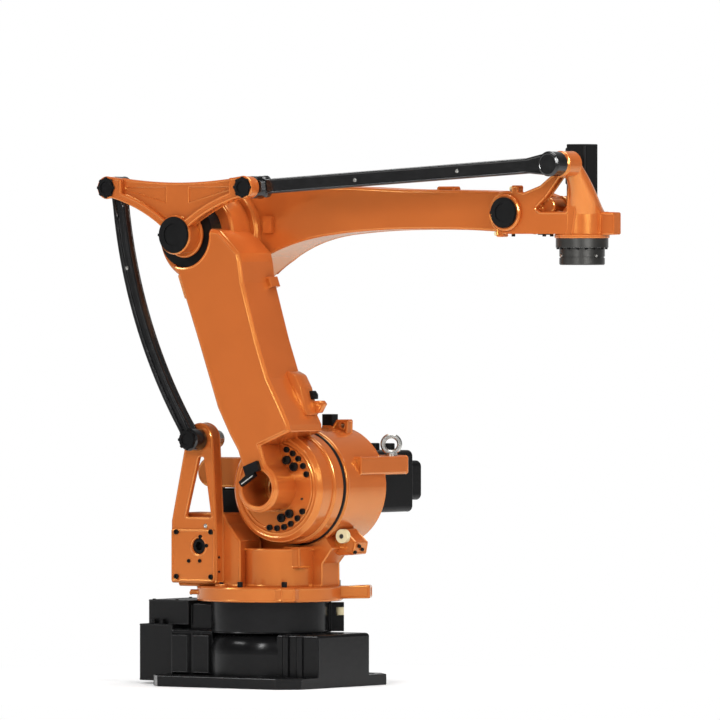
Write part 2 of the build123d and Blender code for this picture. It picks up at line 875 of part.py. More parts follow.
with BuildPart() as rod_foot_pin:
    with BuildSketch(side_plane(bracket_far - foot_pin_proud, rod_foot_x, rod_foot_z)):
        Circle(foot_pin_radius)
    extrude(amount=foot_pin_proud + bracket_thickness + rod_eye_width + 2 * side_gap)
    with BuildSketch(side_plane(bracket_far - foot_pin_proud, rod_foot_x, rod_foot_z)):
        Circle(foot_nut_radius)
    extrude(amount=foot_pin_proud)
save(rod_foot_pin.part, "rod_foot_pin")


def cap(radius, near, x, z, proud):
    """Round cover on a pivot, with a stepped rim and a shallow recess in its face."""
    with BuildPart() as cover:
        with BuildSketch(side_plane(near, x, z)):
            Circle(radius)
        extrude(amount=proud - cap_edge)
        with BuildSketch(side_plane(near, x, z)):
            Circle(radius - cap_edge)
        extrude(amount=proud)
        with BuildSketch(side_plane(near + proud, x, z)):
            Circle(radius * cap_recess_share)
        extrude(amount=-cap_recess_depth, mode=Mode.SUBTRACT)
    return cover.part


save(cap(ear_cap_radius, rod_eye_near + side_gap, rod_foot_x, rod_foot_z, cap_proud), "rod_foot_cap")

# Link arm: leaning box casting with the shoulder hub at its foot and the elbow barrel at its head
link_points = scaled(link_front_shares + link_back_shares, link_front, link_length)
with BuildPart() as link_arm:
    with BuildSketch(link_plane(link_far)):
        with BuildLine():
            Polyline(*link_points, close=True)
        make_face()
    extrude(amount=link_depth)
    chamfer(link_arm.faces().sort_by(Axis.Y)[0].edges(), length=link_edge)
    with BuildSketch(link_plane(link_far)):
        with BuildLine():
            Polyline(
                (0, link_pad_shares[0] * link_length),
                (0, link_pad_shares[1] * link_length),
                (-link_pad_share * link_front, link_pad_shares[1] * link_length),
                (-link_pad_share * link_front, link_pad_shares[0] * link_length),
                close=True,
            )
        make_face()
    extrude(amount=link_depth - 2 * link_edge)
    with BuildSketch(link_plane(link_far)):
        with BuildLine():
            Polyline(
                (0, link_lug_shares[0] * link_length),
                (0, link_lug_shares[1] * link_length),
                (link_lug_share * link_front, link_lug_shares[1] * link_length),
                (link_lug_share * link_front, link_lug_shares[0] * link_length),
                close=True,
            )
        make_face()
    extrude(amount=link_lug_width)
    add(
        turned(
            [
                (0, barrel_far),
                (barrel_flange_radius, barrel_far),
                (barrel_flange_radius, barrel_far + barrel_flange_width - barrel_edge),
                (barrel_flange_radius - barrel_edge, barrel_far + barrel_flange_width),
                (barrel_radius, barrel_far + barrel_flange_width),
                (barrel_radius, barrel_near - barrel_edge),
                (barrel_radius - barrel_edge, barrel_near),
                (0, barrel_near),
            ],
            elbow_x,
            elbow_z,
        )
    )
    add(
        turned(
            [
                (0, hub_ring_far),
                (hub_ring_radius, hub_ring_far),
                (hub_ring_radius, hub_ring_near - hub_ring_edge),
                (hub_ring_radius - hub_ring_edge, hub_ring_near),
                (hub_disc_radius, hub_ring_near),
                (hub_disc_radius, hub_disc_near - hub_disc_edge),
                (hub_disc_radius - hub_disc_edge, hub_disc_near),
                (hub_groove_radius + hub_groove_width, hub_disc_near),
                (hub_groove_radius + hub_groove_width, hub_disc_near - hub_groove_depth),
                (hub_groove_radius, hub_disc_near - hub_groove_depth),
                (hub_groove_radius, hub_disc_near),
                (0, hub_disc_near),
            ],
            shoulder_offset,
            shoulder_height,
        )
    )
    neck_end = link_back_shares[-2][1] * link_length
    neck_junction = math.sqrt(hub_boss_radius**2 - neck_front**2)
    with BuildPart(mode=Mode.PRIVATE) as neck_boss:
        with BuildSketch(link_plane(hub_disc_near)) as neck:
            with BuildLine():
                Polyline(
                    (-neck_back, 0),
                    (neck_front, 0),
                    (neck_front, neck_end),
                    (-neck_back, neck_end),
                    close=True,
                )
            make_face()
            Circle(hub_boss_radius)
            fillet(neck.vertices().sort_by_distance((neck_front, neck_junction, 0))[0], radius=neck_fillet)
        extrude(amount=link_near - hub_disc_near)
        chamfer(neck_boss.faces().sort_by(Axis.Y)[0].edges(), length=link_edge)
    add(neck_boss.part)
    with BuildSketch(side_plane(link_near, shoulder_offset, shoulder_height)):
        Circle(hub_bore_radius)
    extrude(amount=-hub_bore_depth, mode=Mode.SUBTRACT)
    with BuildSketch(side_plane(link_near, shoulder_offset, shoulder_height)):
        Circle(hub_step_radius)
    extrude(amount=-hub_step_depth, mode=Mode.SUBTRACT)
    with BuildSketch(side_plane(barrel_near, elbow_x, elbow_z)):
        Circle(saddle_radius)
    extrude(amount=link_near - barrel_near + overrun, mode=Mode.SUBTRACT)
    with BuildSketch(side_plane(-barrel_far, elbow_x, elbow_z)):
        Circle(elbow_shaft_radius + seat_gap)
    extrude(amount=link_near + barrel_far, mode=Mode.SUBTRACT)
save(link_arm.part, "link_arm")

with BuildPart() as elbow_seal:
    with BuildSketch(side_plane(barrel_near, elbow_x, elbow_z)):
        Circle(saddle_radius - seal_gap)
        Circle(elbow_shaft_radius + seat_gap, mode=Mode.SUBTRACT)
    extrude(amount=crank_drum_far - running_gap - barrel_near)
save(elbow_seal.part, "elbow_seal")

with BuildPart() as hub_sensor:
    with BuildSketch(link_plane(link_near)):
        for outline in (hub_sensor_block_shares, hub_sensor_lever_shares):
            with BuildLine():
                Polyline(*scaled(outline, hub_boss_radius, hub_boss_radius), close=True)
            make_face()
    extrude(amount=hub_sensor_depth)
save(hub_sensor.part, "hub_sensor")

# Bell crank at the elbow, kept level by the rear rod: barrel hub, raised lower rims, ear lugs and pockets
ear_top = crank_rise + crank_ear_radius
foot_step = polar(crank_ear_radius, crank_ear_foot)
foot_place = (crank_reach - foot_step[0], crank_rise + foot_step[1])
drum_place = polar(crank_root_share * crank_drum_radius, 180 - crank_drum_angle)
chord = math.dist(foot_place, drum_place)
normal = ((drum_place[1] - foot_place[1]) / chord, (foot_place[0] - drum_place[0]) / chord)
arch_place = (
    (foot_place[0] + drum_place[0]) / 2 + normal[0] * crank_arch,
    (foot_place[1] + drum_place[1]) / 2 + normal[1] * crank_arch,
)
rim_places = [
    (place[0] + normal[0] * crank_rim_width, place[1] + normal[1] * crank_rim_width)
    for place in (foot_place, arch_place, drum_place)
]


def flipped(place):
    return -place[0], place[1]


with BuildSketch(side_plane(crank_far, elbow_x, elbow_z)) as crank_outline:
    with BuildLine():
        ThreePointArc((-crank_reach, ear_top), (0, ear_top - crank_sag), (crank_reach, ear_top))
        Line((crank_reach, ear_top), foot_place)
        ThreePointArc(foot_place, arch_place, drum_place)
        Line(drum_place, flipped(drum_place))
        ThreePointArc(flipped(drum_place), flipped(arch_place), flipped(foot_place))
        Line(flipped(foot_place), (-crank_reach, ear_top))
    make_face()
    with Locations((-crank_reach, crank_rise), (crank_reach, crank_rise)):
        Circle(crank_ear_radius)

with BuildSketch(side_plane(crank_face, elbow_x, elbow_z)) as crank_rims:
    with BuildLine():
        ThreePointArc(foot_place, arch_place, drum_place)
        Line(drum_place, rim_places[2])
        ThreePointArc(rim_places[2], rim_places[1], rim_places[0])
        Line(rim_places[0], foot_place)
    make_face()
    with BuildLine():
        ThreePointArc(flipped(foot_place), flipped(arch_place), flipped(drum_place))
        Line(flipped(drum_place), flipped(rim_places[2]))
        ThreePointArc(flipped(rim_places[2]), flipped(rim_places[1]), flipped(rim_places[0]))
        Line(flipped(rim_places[0]), flipped(foot_place))
    make_face()

with BuildPart() as bell_crank:
    extrude(crank_outline.sketch, amount=crank_web)
    extrude(crank_rims.sketch, amount=crank_lug_proud)
    with BuildSketch(side_plane(crank_face, elbow_x, elbow_z)):
        add(crank_outline.sketch_local)
        Rectangle(2 * (crank_reach - crank_lug_length), 2 * ear_top, mode=Mode.SUBTRACT)
    extrude(amount=crank_lug_proud)
    with BuildSketch(side_plane(crank_face, elbow_x, elbow_z)):
        for pocket_side in (-1, 1):
            with BuildLine():
                Polyline(*scaled(crank_pocket_shares, pocket_side * crank_reach, crank_rise), close=True)
            make_face()
    extrude(amount=-crank_pocket_depth, mode=Mode.SUBTRACT)
    add(
        turned(
            [
                (0, crank_drum_far),
                (crank_collar_radius, crank_drum_far),
                (crank_collar_radius, crank_drum_far + crank_collar_width),
                (crank_drum_radius, crank_drum_far + crank_collar_width),
                (crank_drum_radius, crank_near),
                (0, crank_near),
            ],
            elbow_x,
            elbow_z,
        )
    )
save(bell_crank.part, "bell_crank")

with BuildPart() as elbow_shaft:
    with BuildSketch(side_plane(-arm_shaft_depth, elbow_x, elbow_z)):
        Circle(elbow_shaft_radius)
    extrude(amount=arm_shaft_depth + crank_drum_far)
save(elbow_shaft.part, "elbow_shaft")

save(cap(hub_cap_radius, crank_near, elbow_x, elbow_z, cap_proud), "crank_hub_cap")
crank_ears = {"rear": elbow_x - crank_reach, "front": elbow_x + crank_reach}
for name, ear_x in crank_ears.items():
    save(cap(ear_cap_radius, crank_near, ear_x, crank_ear_z, cap_proud), f"crank_{name}_cap")
    with BuildPart() as crank_pin:
        with BuildSketch(side_plane(rod_eye_far, ear_x, crank_ear_z)):
            Circle(rod_pin_radius)
        extrude(amount=rod_eye_width + side_gap)
    save(crank_pin.part, f"crank_{name}_pin")


def rod_eye(radius, x, z):
    """Eye of a rod, with bevelled rims."""
    return turned(
        [
            (0, rod_eye_far),
            (radius - rod_eye_edge, rod_eye_far),
            (radius, rod_eye_far + rod_eye_edge),
            (radius, rod_eye_near - rod_eye_edge),
            (radius - rod_eye_edge, rod_eye_near),
            (0, rod_eye_near),
        ],
        x,
        z,
    )


# Rear rod: bowed and grooved bar from the bracket to the bell crank
rod_foot = (rod_foot_x, rod_foot_z)
rear_ear = (crank_ears["rear"], crank_ear_z)
rod_middle = (
    (rod_foot_x + crank_ears["rear"]) / 2 - rear_rod_bow * math.cos(lean),
    (rod_foot_z + crank_ear_z) / 2 - rear_rod_bow * math.sin(lean),
)
with BuildPart() as rear_rod:
    with BuildSketch(side_plane(rod_plane - rod_thickness / 2)):
        with BuildLine():
            ThreePointArc(rod_foot, rod_middle, rear_ear)
            offset(amount=rear_rod_width / 2, kind=Kind.ARC)
        make_face()
    extrude(amount=rod_thickness)
    with BuildSketch(side_plane(rod_plane + rod_thickness / 2 - rod_groove_depth)):
        with BuildLine():
            ThreePointArc(rod_foot, rod_middle, rear_ear)
            offset(amount=rod_groove_width / 2, kind=Kind.ARC)
        make_face()
    extrude(amount=rod_groove_depth, mode=Mode.SUBTRACT)
    add(rod_eye(rod_eye_radius, *rod_foot))
    add(rod_eye(rod_eye_radius, *rear_ear))
    with BuildSketch(side_plane(rod_eye_far - overrun)):
        with Locations(rod_foot, rear_ear):
            Circle(rod_pin_radius + seat_gap)
    extrude(amount=rod_eye_width + 2 * overrun, mode=Mode.SUBTRACT)
save(rear_rod.part, "rear_rod")

# Upper rod: straight bar from the bell crank to the wrist, with a collar and a closed front eye
rod_start = (crank_ears["front"], crank_ear_z)
rod_end = (rod_head_x, rod_head_z)
rod_length = math.dist(rod_start, rod_end)
rod_direction = ((rod_end[0] - rod_start[0]) / rod_length, (rod_end[1] - rod_start[1]) / rod_length)


def upper_plane(near):
    """Side plane at the upper rod's rear pivot, with its first direction along the rod."""
    return Plane(
        origin=(rod_start[0], -near, rod_start[1]),
        x_dir=(rod_direction[0], 0, rod_direction[1]),
        z_dir=(0, -1, 0),
    )


collar_plane = Plane(
    origin=(
        rod_start[0] + collar_start * rod_direction[0],
        -rod_plane,
        rod_start[1] + collar_start * rod_direction[1],
    ),
    x_dir=(0, -1, 0),
    z_dir=(rod_direction[0], 0, rod_direction[1]),
)
with BuildPart() as rod_collar:
    with BuildSketch(collar_plane):
        RectangleRounded(collar_thickness, collar_height, collar_corner)
    extrude(amount=collar_length)
    chamfer(rod_collar.faces().sort_by(Axis.X)[-1].edges(), length=collar_edge)

with BuildPart() as upper_rod:
    with BuildSketch(upper_plane(rod_plane - rod_thickness / 2)):
        with BuildLine():
            Polyline(
                (0, -upper_rod_height / 2),
                (rod_length - head_taper, -upper_rod_height / 2),
                (rod_length - head_eye_radius / 2, -head_eye_radius + rod_eye_edge),
                (rod_length - head_eye_radius / 2, head_eye_radius - rod_eye_edge),
                (rod_length - head_taper, upper_rod_height / 2),
                (0, upper_rod_height / 2),
                close=True,
            )
        make_face()
    extrude(amount=rod_thickness)
    add(rod_collar.part)
    add(rod_eye(rod_eye_radius, *rod_start))
    add(rod_eye(head_eye_radius, *rod_end))
    with BuildSketch(side_plane(rod_eye_far - overrun, *rod_start)):
        Circle(rod_pin_radius + seat_gap)
    extrude(amount=rod_eye_width + 2 * overrun, mode=Mode.SUBTRACT)
    with BuildSketch(side_plane(rod_eye_far - overrun, *rod_end)):
        Circle(rod_pin_radius + seat_gap)
    extrude(amount=overrun + rod_eye_width - head_wall, mode=Mode.SUBTRACT)
save(upper_rod.part, "upper_rod")

# Forearm: curved casting from the elbow hub to the wrist fork, thick at the elbow and slim ahead of it
def from_elbow(shares):
    """Outline points about the elbow, from shares of the arm's length and of the hub's radius."""
    return [(elbow_x + place[0], elbow_z + place[1]) for place in scaled(shares, arm_length, arm_hub_radius)]


arm_top = from_elbow(arm_top_shares)
arm_bottom = from_elbow(arm_bottom_shares)
hub_upper, hub_lower = [polar(arm_hub_radius, angle) for angle in arm_hub_angles]
arm_start = (elbow_x + hub_upper[0], elbow_z + hub_upper[1])
arm_finish = (elbow_x + hub_lower[0], elbow_z + hub_lower[1])
half_arm = arm_width / 2
with BuildPart() as forearm:
    with BuildSketch(side_plane(-arm_hub_far)):
        with BuildLine():
            Spline(arm_start, *arm_top, (wrist_x, wrist_z + arm_end_radius))
            Line((wrist_x, wrist_z + arm_end_radius), (wrist_x, wrist_z - arm_end_radius))
            Spline((wrist_x, wrist_z - arm_end_radius), *arm_bottom, arm_finish)
            Line(arm_finish, arm_start)
        make_face()
        with Locations((wrist_x, wrist_z)):
            Circle(arm_end_radius)
    extrude(amount=arm_hub_far + half_arm)
    with BuildSketch():
        with BuildLine():
            Polyline(
                (elbow_x - arm_hub_radius, -half_arm),
                (wrist_x + arm_hub_radius, -half_arm),
                (wrist_x + arm_hub_radius, half_arm),
                (elbow_x + arm_slim_share * arm_length, half_arm),
                (elbow_x + arm_thick_share * arm_length, arm_hub_far),
                (elbow_x - arm_hub_radius, arm_hub_far),
                close=True,
            )
        make_face()
    extrude(amount=2 * elbow_z, mode=Mode.INTERSECT)
    fillet(forearm.faces().sort_by(Axis.Y)[0].edges().filter_by(GeomType.BSPLINE), radius=arm_edge)
    add(
        turned(
            [
                (0, half_arm),
                (arm_hub_radius - arm_hub_edge, half_arm),
                (arm_hub_radius, half_arm - arm_hub_edge),
                (arm_hub_radius, arm_hub_edge - arm_hub_far),
                (arm_hub_radius - arm_hub_edge, -arm_hub_far),
                (0, -arm_hub_far),
            ],
            elbow_x,
            elbow_z,
        )
    )
    with BuildSketch(side_plane(0, elbow_x, elbow_z)):
        with Locations((arm_stop_start + arm_stop_length / 2, arm_stop_rise + arm_stop_height / 2)):
            Rectangle(arm_stop_length, arm_stop_height)
    extrude(amount=half_arm + arm_stop_proud)
    lug_low, lug_high = arm_lug_shares
    with BuildSketch(side_plane(-arm_lug_width / 2, elbow_x, elbow_z)):
        with Locations(((lug_low + lug_high) / 2 * arm_length, arm_top_shares[-2][1] * arm_hub_radius)):
            Rectangle((lug_high - lug_low) * arm_length, 2 * arm_lug_height)
    extrude(amount=arm_lug_width)
    with BuildSketch(side_plane(-arm_shaft_depth - seat_gap, elbow_x, elbow_z)):
        Circle(elbow_shaft_radius + seat_gap)
    extrude(amount=arm_shaft_depth + arm_width, mode=Mode.SUBTRACT)
    with BuildSketch(side_plane(-arm_width, wrist_x, wrist_z)):
        Circle(wrist_pin_radius + seat_gap)
    extrude(amount=2 * arm_width, mode=Mode.SUBTRACT)
save(forearm.part, "forearm")

with BuildPart() as elbow_motor:
    with BuildSketch(side_plane(-arm_hub_far - elbow_motor_length, elbow_x, elbow_z)):
        RectangleRounded(elbow_motor_size, elbow_motor_size, motor_corner)
    extrude(amount=elbow_motor_length)
    chamfer(elbow_motor.faces().sort_by(Axis.Y)[-1].edges(), length=motor_edge)
save(elbow_motor.part, "elbow_motor")

# Wrist: fork plates, flange body and the leaning tower that carries the upper rod's pin
strut_points = scaled(strut_shares, plate_ear_radius, plate_ear_radius)
window_points = scaled(window_shares, plate_ear_radius, plate_ear_radius)
plate_end = wrist_offset + plate_end_share * plate_ear_radius
flange_top = wrist_z + window_shares[-1][1] * plate_ear_radius
with BuildPart() as wrist_casting:
    with BuildSketch(side_plane(plate_inner, wrist_x, wrist_z)):
        with BuildLine():
            Polyline(
                (0, -plate_ear_radius),
                (plate_end, -plate_ear_radius),
                (crank_reach, plate_apex_shares[0] * crank_rise),
                (crank_reach, plate_apex_shares[1] * crank_rise),
                *strut_points,
                (0, plate_ear_radius),
                close=True,
            )
        make_face()
        Circle(plate_ear_radius)
    extrude(amount=plate_thickness)
    with BuildSketch(side_plane(plate_inner - overrun, wrist_x, wrist_z)) as plate_window:
        with BuildLine():
            Polyline(*window_points, close=True)
        make_face()
        fillet(plate_window.vertices(), radius=window_corner)
    extrude(amount=plate_thickness + 2 * overrun, mode=Mode.SUBTRACT)
    with BuildSketch(side_plane(-plate_outer, wrist_x, wrist_z)):
        with BuildLine():
            Polyline(
                (0, -plate_ear_radius),
                (plate_end, -plate_ear_radius),
                (plate_end, flange_top - wrist_z),
                strut_points[-1],
                (0, plate_ear_radius),
                close=True,
            )
        make_face()
        Circle(plate_ear_radius)
    extrude(amount=plate_thickness)
    for boss_side in (1, -1):
        add(
            turned(
                [
                    (0, boss_side * plate_inner),
                    (plate_boss_radius, boss_side * plate_inner),
                    (plate_boss_radius, boss_side * (plate_outer + plate_boss_proud - plate_boss_edge)),
                    (plate_boss_radius - plate_boss_edge, boss_side * (plate_outer + plate_boss_proud)),
                    (0, boss_side * (plate_outer + plate_boss_proud)),
                ],
                wrist_x,
                wrist_z,
            )
        )
    tube_x = wrist_x + tube_share[0] * plate_ear_radius
    tube_z = wrist_z + tube_share[1] * plate_ear_radius
    with BuildSketch(side_plane(-plate_inner, tube_x, tube_z)):
        Circle(tube_radius)
    extrude(amount=2 * plate_inner)
    with BuildSketch(side_plane(-plate_inner, tube_x, tube_z)):
        Circle(tube_step_radius)
    extrude(amount=2 * plate_inner * tube_step_share)
    with BuildSketch(Plane((tool_x, 0, flange_body_bottom))):
        Circle(flange_body_radius)
    extrude(amount=flange_top - flange_body_bottom)
    with BuildSketch(Plane((tool_x, 0, flange_body_bottom))):
        Circle(flange_collar_radius)
    extrude(amount=flange_collar_height)
    with BuildSketch(Plane((tool_x, 0, wrist_z - plate_ear_radius))):
        with Locations((front_lug_reach / 2, 0)):
            Rectangle(front_lug_reach, front_lug_width)
    extrude(amount=front_lug_height)
    with BuildPart(mode=Mode.PRIVATE) as tower:
        for height, ahead, near, half_length, half_width in tower_section_shares:
            with BuildSketch(
                Plane(
                    (
                        tool_x + ahead * (rod_head_x - tool_x),
                        -near * tower_near,
                        wrist_z + height * crank_rise,
                    )
                )
            ):
                Ellipse(half_length * plate_ear_radius, half_width * plate_ear_radius)
        loft()
    add(tower.part)
    tower_far = tower_back_share * tower_near
    add(
        turned(
            [
                (0, tower_far),
                (tower_radius - 2 * tower_edge, tower_far),
                (tower_radius, tower_far + 2 * tower_edge),
                (tower_radius, tower_near - tower_edge),
                (tower_radius - tower_edge, tower_near),
                (0, tower_near),
            ],
            rod_head_x,
            rod_head_z,
        )
    )
    block_middle = plate_inner + plate_thickness / 2
    with BuildSketch(side_plane(plate_inner, wrist_x, wrist_z)):
        with BuildLine():
            Polyline(
                (buffer_block_start, 0),
                (buffer_block_start + buffer_block_length, 0),
                (buffer_block_start + buffer_block_length, buffer_block_top),
                (buffer_block_start, buffer_block_top),
                close=True,
            )
        make_face()
        with BuildLine():
            Polyline(
                (lower_block_start, 0),
                (lower_block_end, 0),
                (lower_block_end, -lower_block_bottom),
                (lower_block_start, -lower_block_bottom),
                close=True,
            )
        make_face()
    extrude(amount=plate_thickness)
    with BuildSketch(Plane((tool_x, 0, flange_top))):
        Rectangle(tool_motor_size + 2 * side_gap, tool_motor_size + 2 * side_gap)
    extrude(amount=tool_motor_rise, mode=Mode.SUBTRACT)
save(wrist_casting.part, "wrist_casting")

small_buffers = {
    "upper": (buffer_block_start, buffer_block_top - small_buffer_radius - small_buffer_inset),
    "lower": (lower_block_start, small_buffer_radius + side_gap - lower_block_bottom),
}
for name, (buffer_x, buffer_z) in small_buffers.items():
    with BuildPart() as small_buffer:
        buffer_plane = Plane(
            origin=(wrist_x + buffer_x, -block_middle, wrist_z + buffer_z),
            z_dir=(-1, 0, 0),
        )
        with BuildSketch(buffer_plane):
            Circle(small_buffer_radius)
        extrude(amount=small_buffer_length)
    save(small_buffer.part, f"wrist_{name}_buffer")

with BuildPart() as wrist_pin:
    with BuildSketch(side_plane(-plate_inner, wrist_x, wrist_z)):
        Circle(wrist_pin_radius)
    extrude(amount=2 * plate_inner)
save(wrist_pin.part, "wrist_pin")
near_cap = cap(plate_cap_radius, plate_outer + plate_boss_proud, wrist_x, wrist_z, plate_cap_proud)
save(near_cap, "wrist_near_cap")

with BuildPart() as rod_head_pin:
    with BuildSketch(side_plane(tower_near, rod_head_x, rod_head_z)):
        Circle(rod_pin_radius)
    extrude(amount=rod_eye_width - head_wall)
save(rod_head_pin.part, "rod_head_pin")

with BuildPart() as tool_motor:
    with BuildSketch(Plane((tool_x, 0, flange_top))):
        RectangleRounded(tool_motor_size, tool_motor_size, tool_motor_corner)
    extrude(amount=wrist_z + tool_motor_rise - flange_top)
    chamfer(tool_motor.faces().sort_by(Axis.Z)[-1].edges(), length=cap_edge)
save(tool_motor.part, "tool_motor")

socket_low, socket_high = motor_socket_shares
with BuildPart() as tool_motor_socket:
    with BuildSketch(Plane((tool_x - tool_motor_size / 2, 0, wrist_z + socket_low * tool_motor_rise))):
        with Locations((-motor_socket_length / 2, 0)):
            Rectangle(motor_socket_length, motor_socket_width)
    extrude(amount=(socket_high - socket_low) * tool_motor_rise)
save(tool_motor_socket.part, "tool_motor_socket")

with BuildPart() as tool_gear_ring:
    with BuildSketch(Plane((tool_x, 0, gear_bottom))):
        Circle(wrist_gear_radius)
    extrude(amount=wrist_gear_height)
save(tool_gear_ring.part, "tool_gear_ring")

# Tool flange with a groove round it, its centring bore and bolt circle
with BuildPart() as tool_flange:
    with BuildSketch(Plane((tool_x, 0, tool_flange_bottom))):
        Circle(tool_flange_radius)
    extrude(amount=tool_flange_height)
    chamfer(tool_flange.faces().sort_by(Axis.Z)[0].edges(), length=tool_flange_edge)
    with BuildSketch(Plane((tool_x, 0, tool_flange_bottom + tool_groove_share * tool_flange_height))):
        Circle(tool_flange_radius + overrun)
        Circle(tool_flange_radius - tool_groove_depth, mode=Mode.SUBTRACT)
    extrude(amount=tool_groove_width, mode=Mode.SUBTRACT)
    flange_face = Plane(origin=(tool_x, 0, tool_flange_bottom), z_dir=(0, 0, -1))
    with Locations(flange_face):
        Hole(tool_bore_radius, depth=tool_bore_depth)
    with Locations(flange_face), PolarLocations(tool_bolt_circle_radius, tool_bolt_count):
        Hole(tool_hole_radius, depth=tool_hole_depth)
save(tool_flange.part, "tool_flange")
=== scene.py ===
"""Finishes the palletising robot arm.

Paints its castings, covers, rods and motors, and adds its rounded edges, screws and small fittings.
"""
import json
import math

import bmesh
import bpy
from bpy.props import FloatProperty, FloatVectorProperty, IntProperty, PointerProperty
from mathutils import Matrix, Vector
from mathutils.bvhtree import BVHTree


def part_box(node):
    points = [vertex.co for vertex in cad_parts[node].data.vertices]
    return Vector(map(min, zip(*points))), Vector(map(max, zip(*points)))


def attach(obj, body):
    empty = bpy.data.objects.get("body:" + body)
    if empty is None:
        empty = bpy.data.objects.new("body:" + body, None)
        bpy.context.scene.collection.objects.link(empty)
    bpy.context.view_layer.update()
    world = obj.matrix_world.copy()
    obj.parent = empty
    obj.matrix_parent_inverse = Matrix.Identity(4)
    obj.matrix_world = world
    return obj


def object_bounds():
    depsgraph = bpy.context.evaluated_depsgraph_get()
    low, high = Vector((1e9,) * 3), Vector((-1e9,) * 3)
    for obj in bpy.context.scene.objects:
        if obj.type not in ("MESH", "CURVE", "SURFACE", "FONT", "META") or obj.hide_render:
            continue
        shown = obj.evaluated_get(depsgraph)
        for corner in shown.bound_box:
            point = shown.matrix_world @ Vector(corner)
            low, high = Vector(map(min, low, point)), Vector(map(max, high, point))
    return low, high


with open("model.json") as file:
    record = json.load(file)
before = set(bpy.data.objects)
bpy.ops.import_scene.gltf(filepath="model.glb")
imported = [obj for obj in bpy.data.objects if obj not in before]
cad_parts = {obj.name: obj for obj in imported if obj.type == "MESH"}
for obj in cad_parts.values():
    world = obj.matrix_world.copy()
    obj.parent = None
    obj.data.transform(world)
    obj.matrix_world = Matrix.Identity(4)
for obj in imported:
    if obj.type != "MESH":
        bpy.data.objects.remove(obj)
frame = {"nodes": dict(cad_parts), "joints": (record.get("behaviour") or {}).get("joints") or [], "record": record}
CAD_BOX = [list(corner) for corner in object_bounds()]

bl_info = {
    "name": "Palletising robot arm",
    "version": (1, 0, 0),
    "blender": (4, 5, 0),
    "location": "View3D > Sidebar > Robot arm",
    "description": "Paint, screws, fittings and studio for the packed robot arm",
    "category": "Object",
}

JOINT_PLACE = {joint["name"]: Vector(joint["pos_m"]) for joint in frame["joints"]}
SHOULDER = JOINT_PLACE["a2_swing"]
ELBOW = JOINT_PLACE["a3_lift"]
NODE_BODY = {node: body for body, nodes in frame["record"]["behaviour"]["bodies"].items() for node in nodes}
NODE_SLOT = {row["node"]: row["material_slot"] for row in frame["record"]["subparts"]}

NEAR = Vector((0.0, -1.0, 0.0))
FAR = Vector((0.0, 1.0, 0.0))
UP = Vector((0.0, 0.0, 1.0))
DOWN = Vector((0.0, 0.0, -1.0))
FRONT = Vector((1.0, 0.0, 0.0))

# The long lens that the picture was taken with, in pixels of the picture.
PICTURE_WIDTH = 720.0
FOCAL_PIXELS = 10465.0
PAN_PIXELS = 90.0
TILT_PIXELS = 124.0

# Edges that bend by less than this stay smooth in the shading of a piece.
SMOOTH_ANGLE = math.radians(38.0)

# Rounded edges: the least bend in radians, how near points count as one, and how far a rim keeps inside the
# robot's box. Then, in radii of the rim: its room to other bodies, its least height and how deep it is sunk.
SHARP_BEND = 0.5
WELD = 0.00002
HAIR = 0.0001
RIM_SIDES = 8
RIM_ROOM = 2.0
RIM_LOWEST = 3.0
RIM_SUNK = 0.9

# The narrow gap between link arm and forearm, where no rim fits: its depths and its reach from the elbow.
ELBOW_GAP = (-0.100, -0.050)
ELBOW_GAP_REACH = 0.6

# Screw heads: how deep they are sunk, their rounded edge in radii, and their socket's depth in heights.
HEAD_SUNK = 0.0008
HEAD_EDGE = 0.12
SOCKET_DEPTH = 0.5

# Beads along a path take every edge of it, at any bend and height.
ANY_BEND = -9.0
ANY_HEIGHT = -1.0
BEAD_SIDES = 10


class Wire:
    """One output of a node. Sums written with it add Math nodes to the same tree."""

    def __init__(self, board, socket):
        self.board = board
        self.socket = socket

    def __add__(self, other):
        return self.board.math("ADD", self, other)

    def __radd__(self, other):
        return self.board.math("ADD", other, self)

    def __sub__(self, other):
        return self.board.math("SUBTRACT", self, other)

    def __rsub__(self, other):
        return self.board.math("SUBTRACT", other, self)

    def __mul__(self, other):
        return self.board.math("MULTIPLY", self, other)

    def __rmul__(self, other):
        return self.board.math("MULTIPLY", other, self)

    def __truediv__(self, other):
        return self.board.math("DIVIDE", self, other)


class Board:
    """Adds nodes to one tree, sets them and links them."""

    def __init__(self, tree):
        self.tree = tree

    def find(self, sockets, key):
        """The socket with this place, identifier or name."""
        if isinstance(key, int):
            return sockets[key]
        for socket in sockets:
            if socket.identifier == key:
                return socket
        return sockets[key]

    def plug(self, socket, value):
        """Links a wire to a socket, or sets the socket's own value."""
        if isinstance(value, Wire):
            self.tree.links.new(value.socket, socket)
        else:
            socket.default_value = value

    def add(self, kind, settings=None, sockets=None, out=0):
        """Adds a node, sets it first, plugs its sockets and gives the output asked for."""
        node = self.tree.nodes.new(kind)
        for name, value in (settings or {}).items():
            if name == "stops":
                self.set_stops(node.color_ramp, value)
            else:
                setattr(node, name, value)
        for key, value in (sockets or {}).items():
            self.plug(self.find(node.inputs, key), value)
        if not node.outputs:
            return None
        return Wire(self, self.find(node.outputs, out))

    def set_stops(self, ramp, stops):
        """Gives a ramp its stops, as pairs of place and grey level."""
        while len(ramp.elements) < len(stops):
            ramp.elements.new(1.0)
        for element, (place, grey) in zip(ramp.elements, stops):
            element.position = place
            element.color = (grey, grey, grey, 1.0)

    def math(self, operation, first, second):
        """A Math node on two values."""
        return self.add("ShaderNodeMath", {"operation": operation}, {0: first, 1: second})

    def mix(self, factor, first, second):
        """A blend of two colours."""
        return self.add(
            "ShaderNodeMix",
            {"data_type": "RGBA"},
            {"Factor_Float": factor, "A_Color": first, "B_Color": second},
            out="Result_Color",
        )

    def ramp(self, value, *stops):
        """A value remapped by stops of place and level."""
        return self.add("ShaderNodeValToRGB", {"stops": stops}, {"Fac": value})


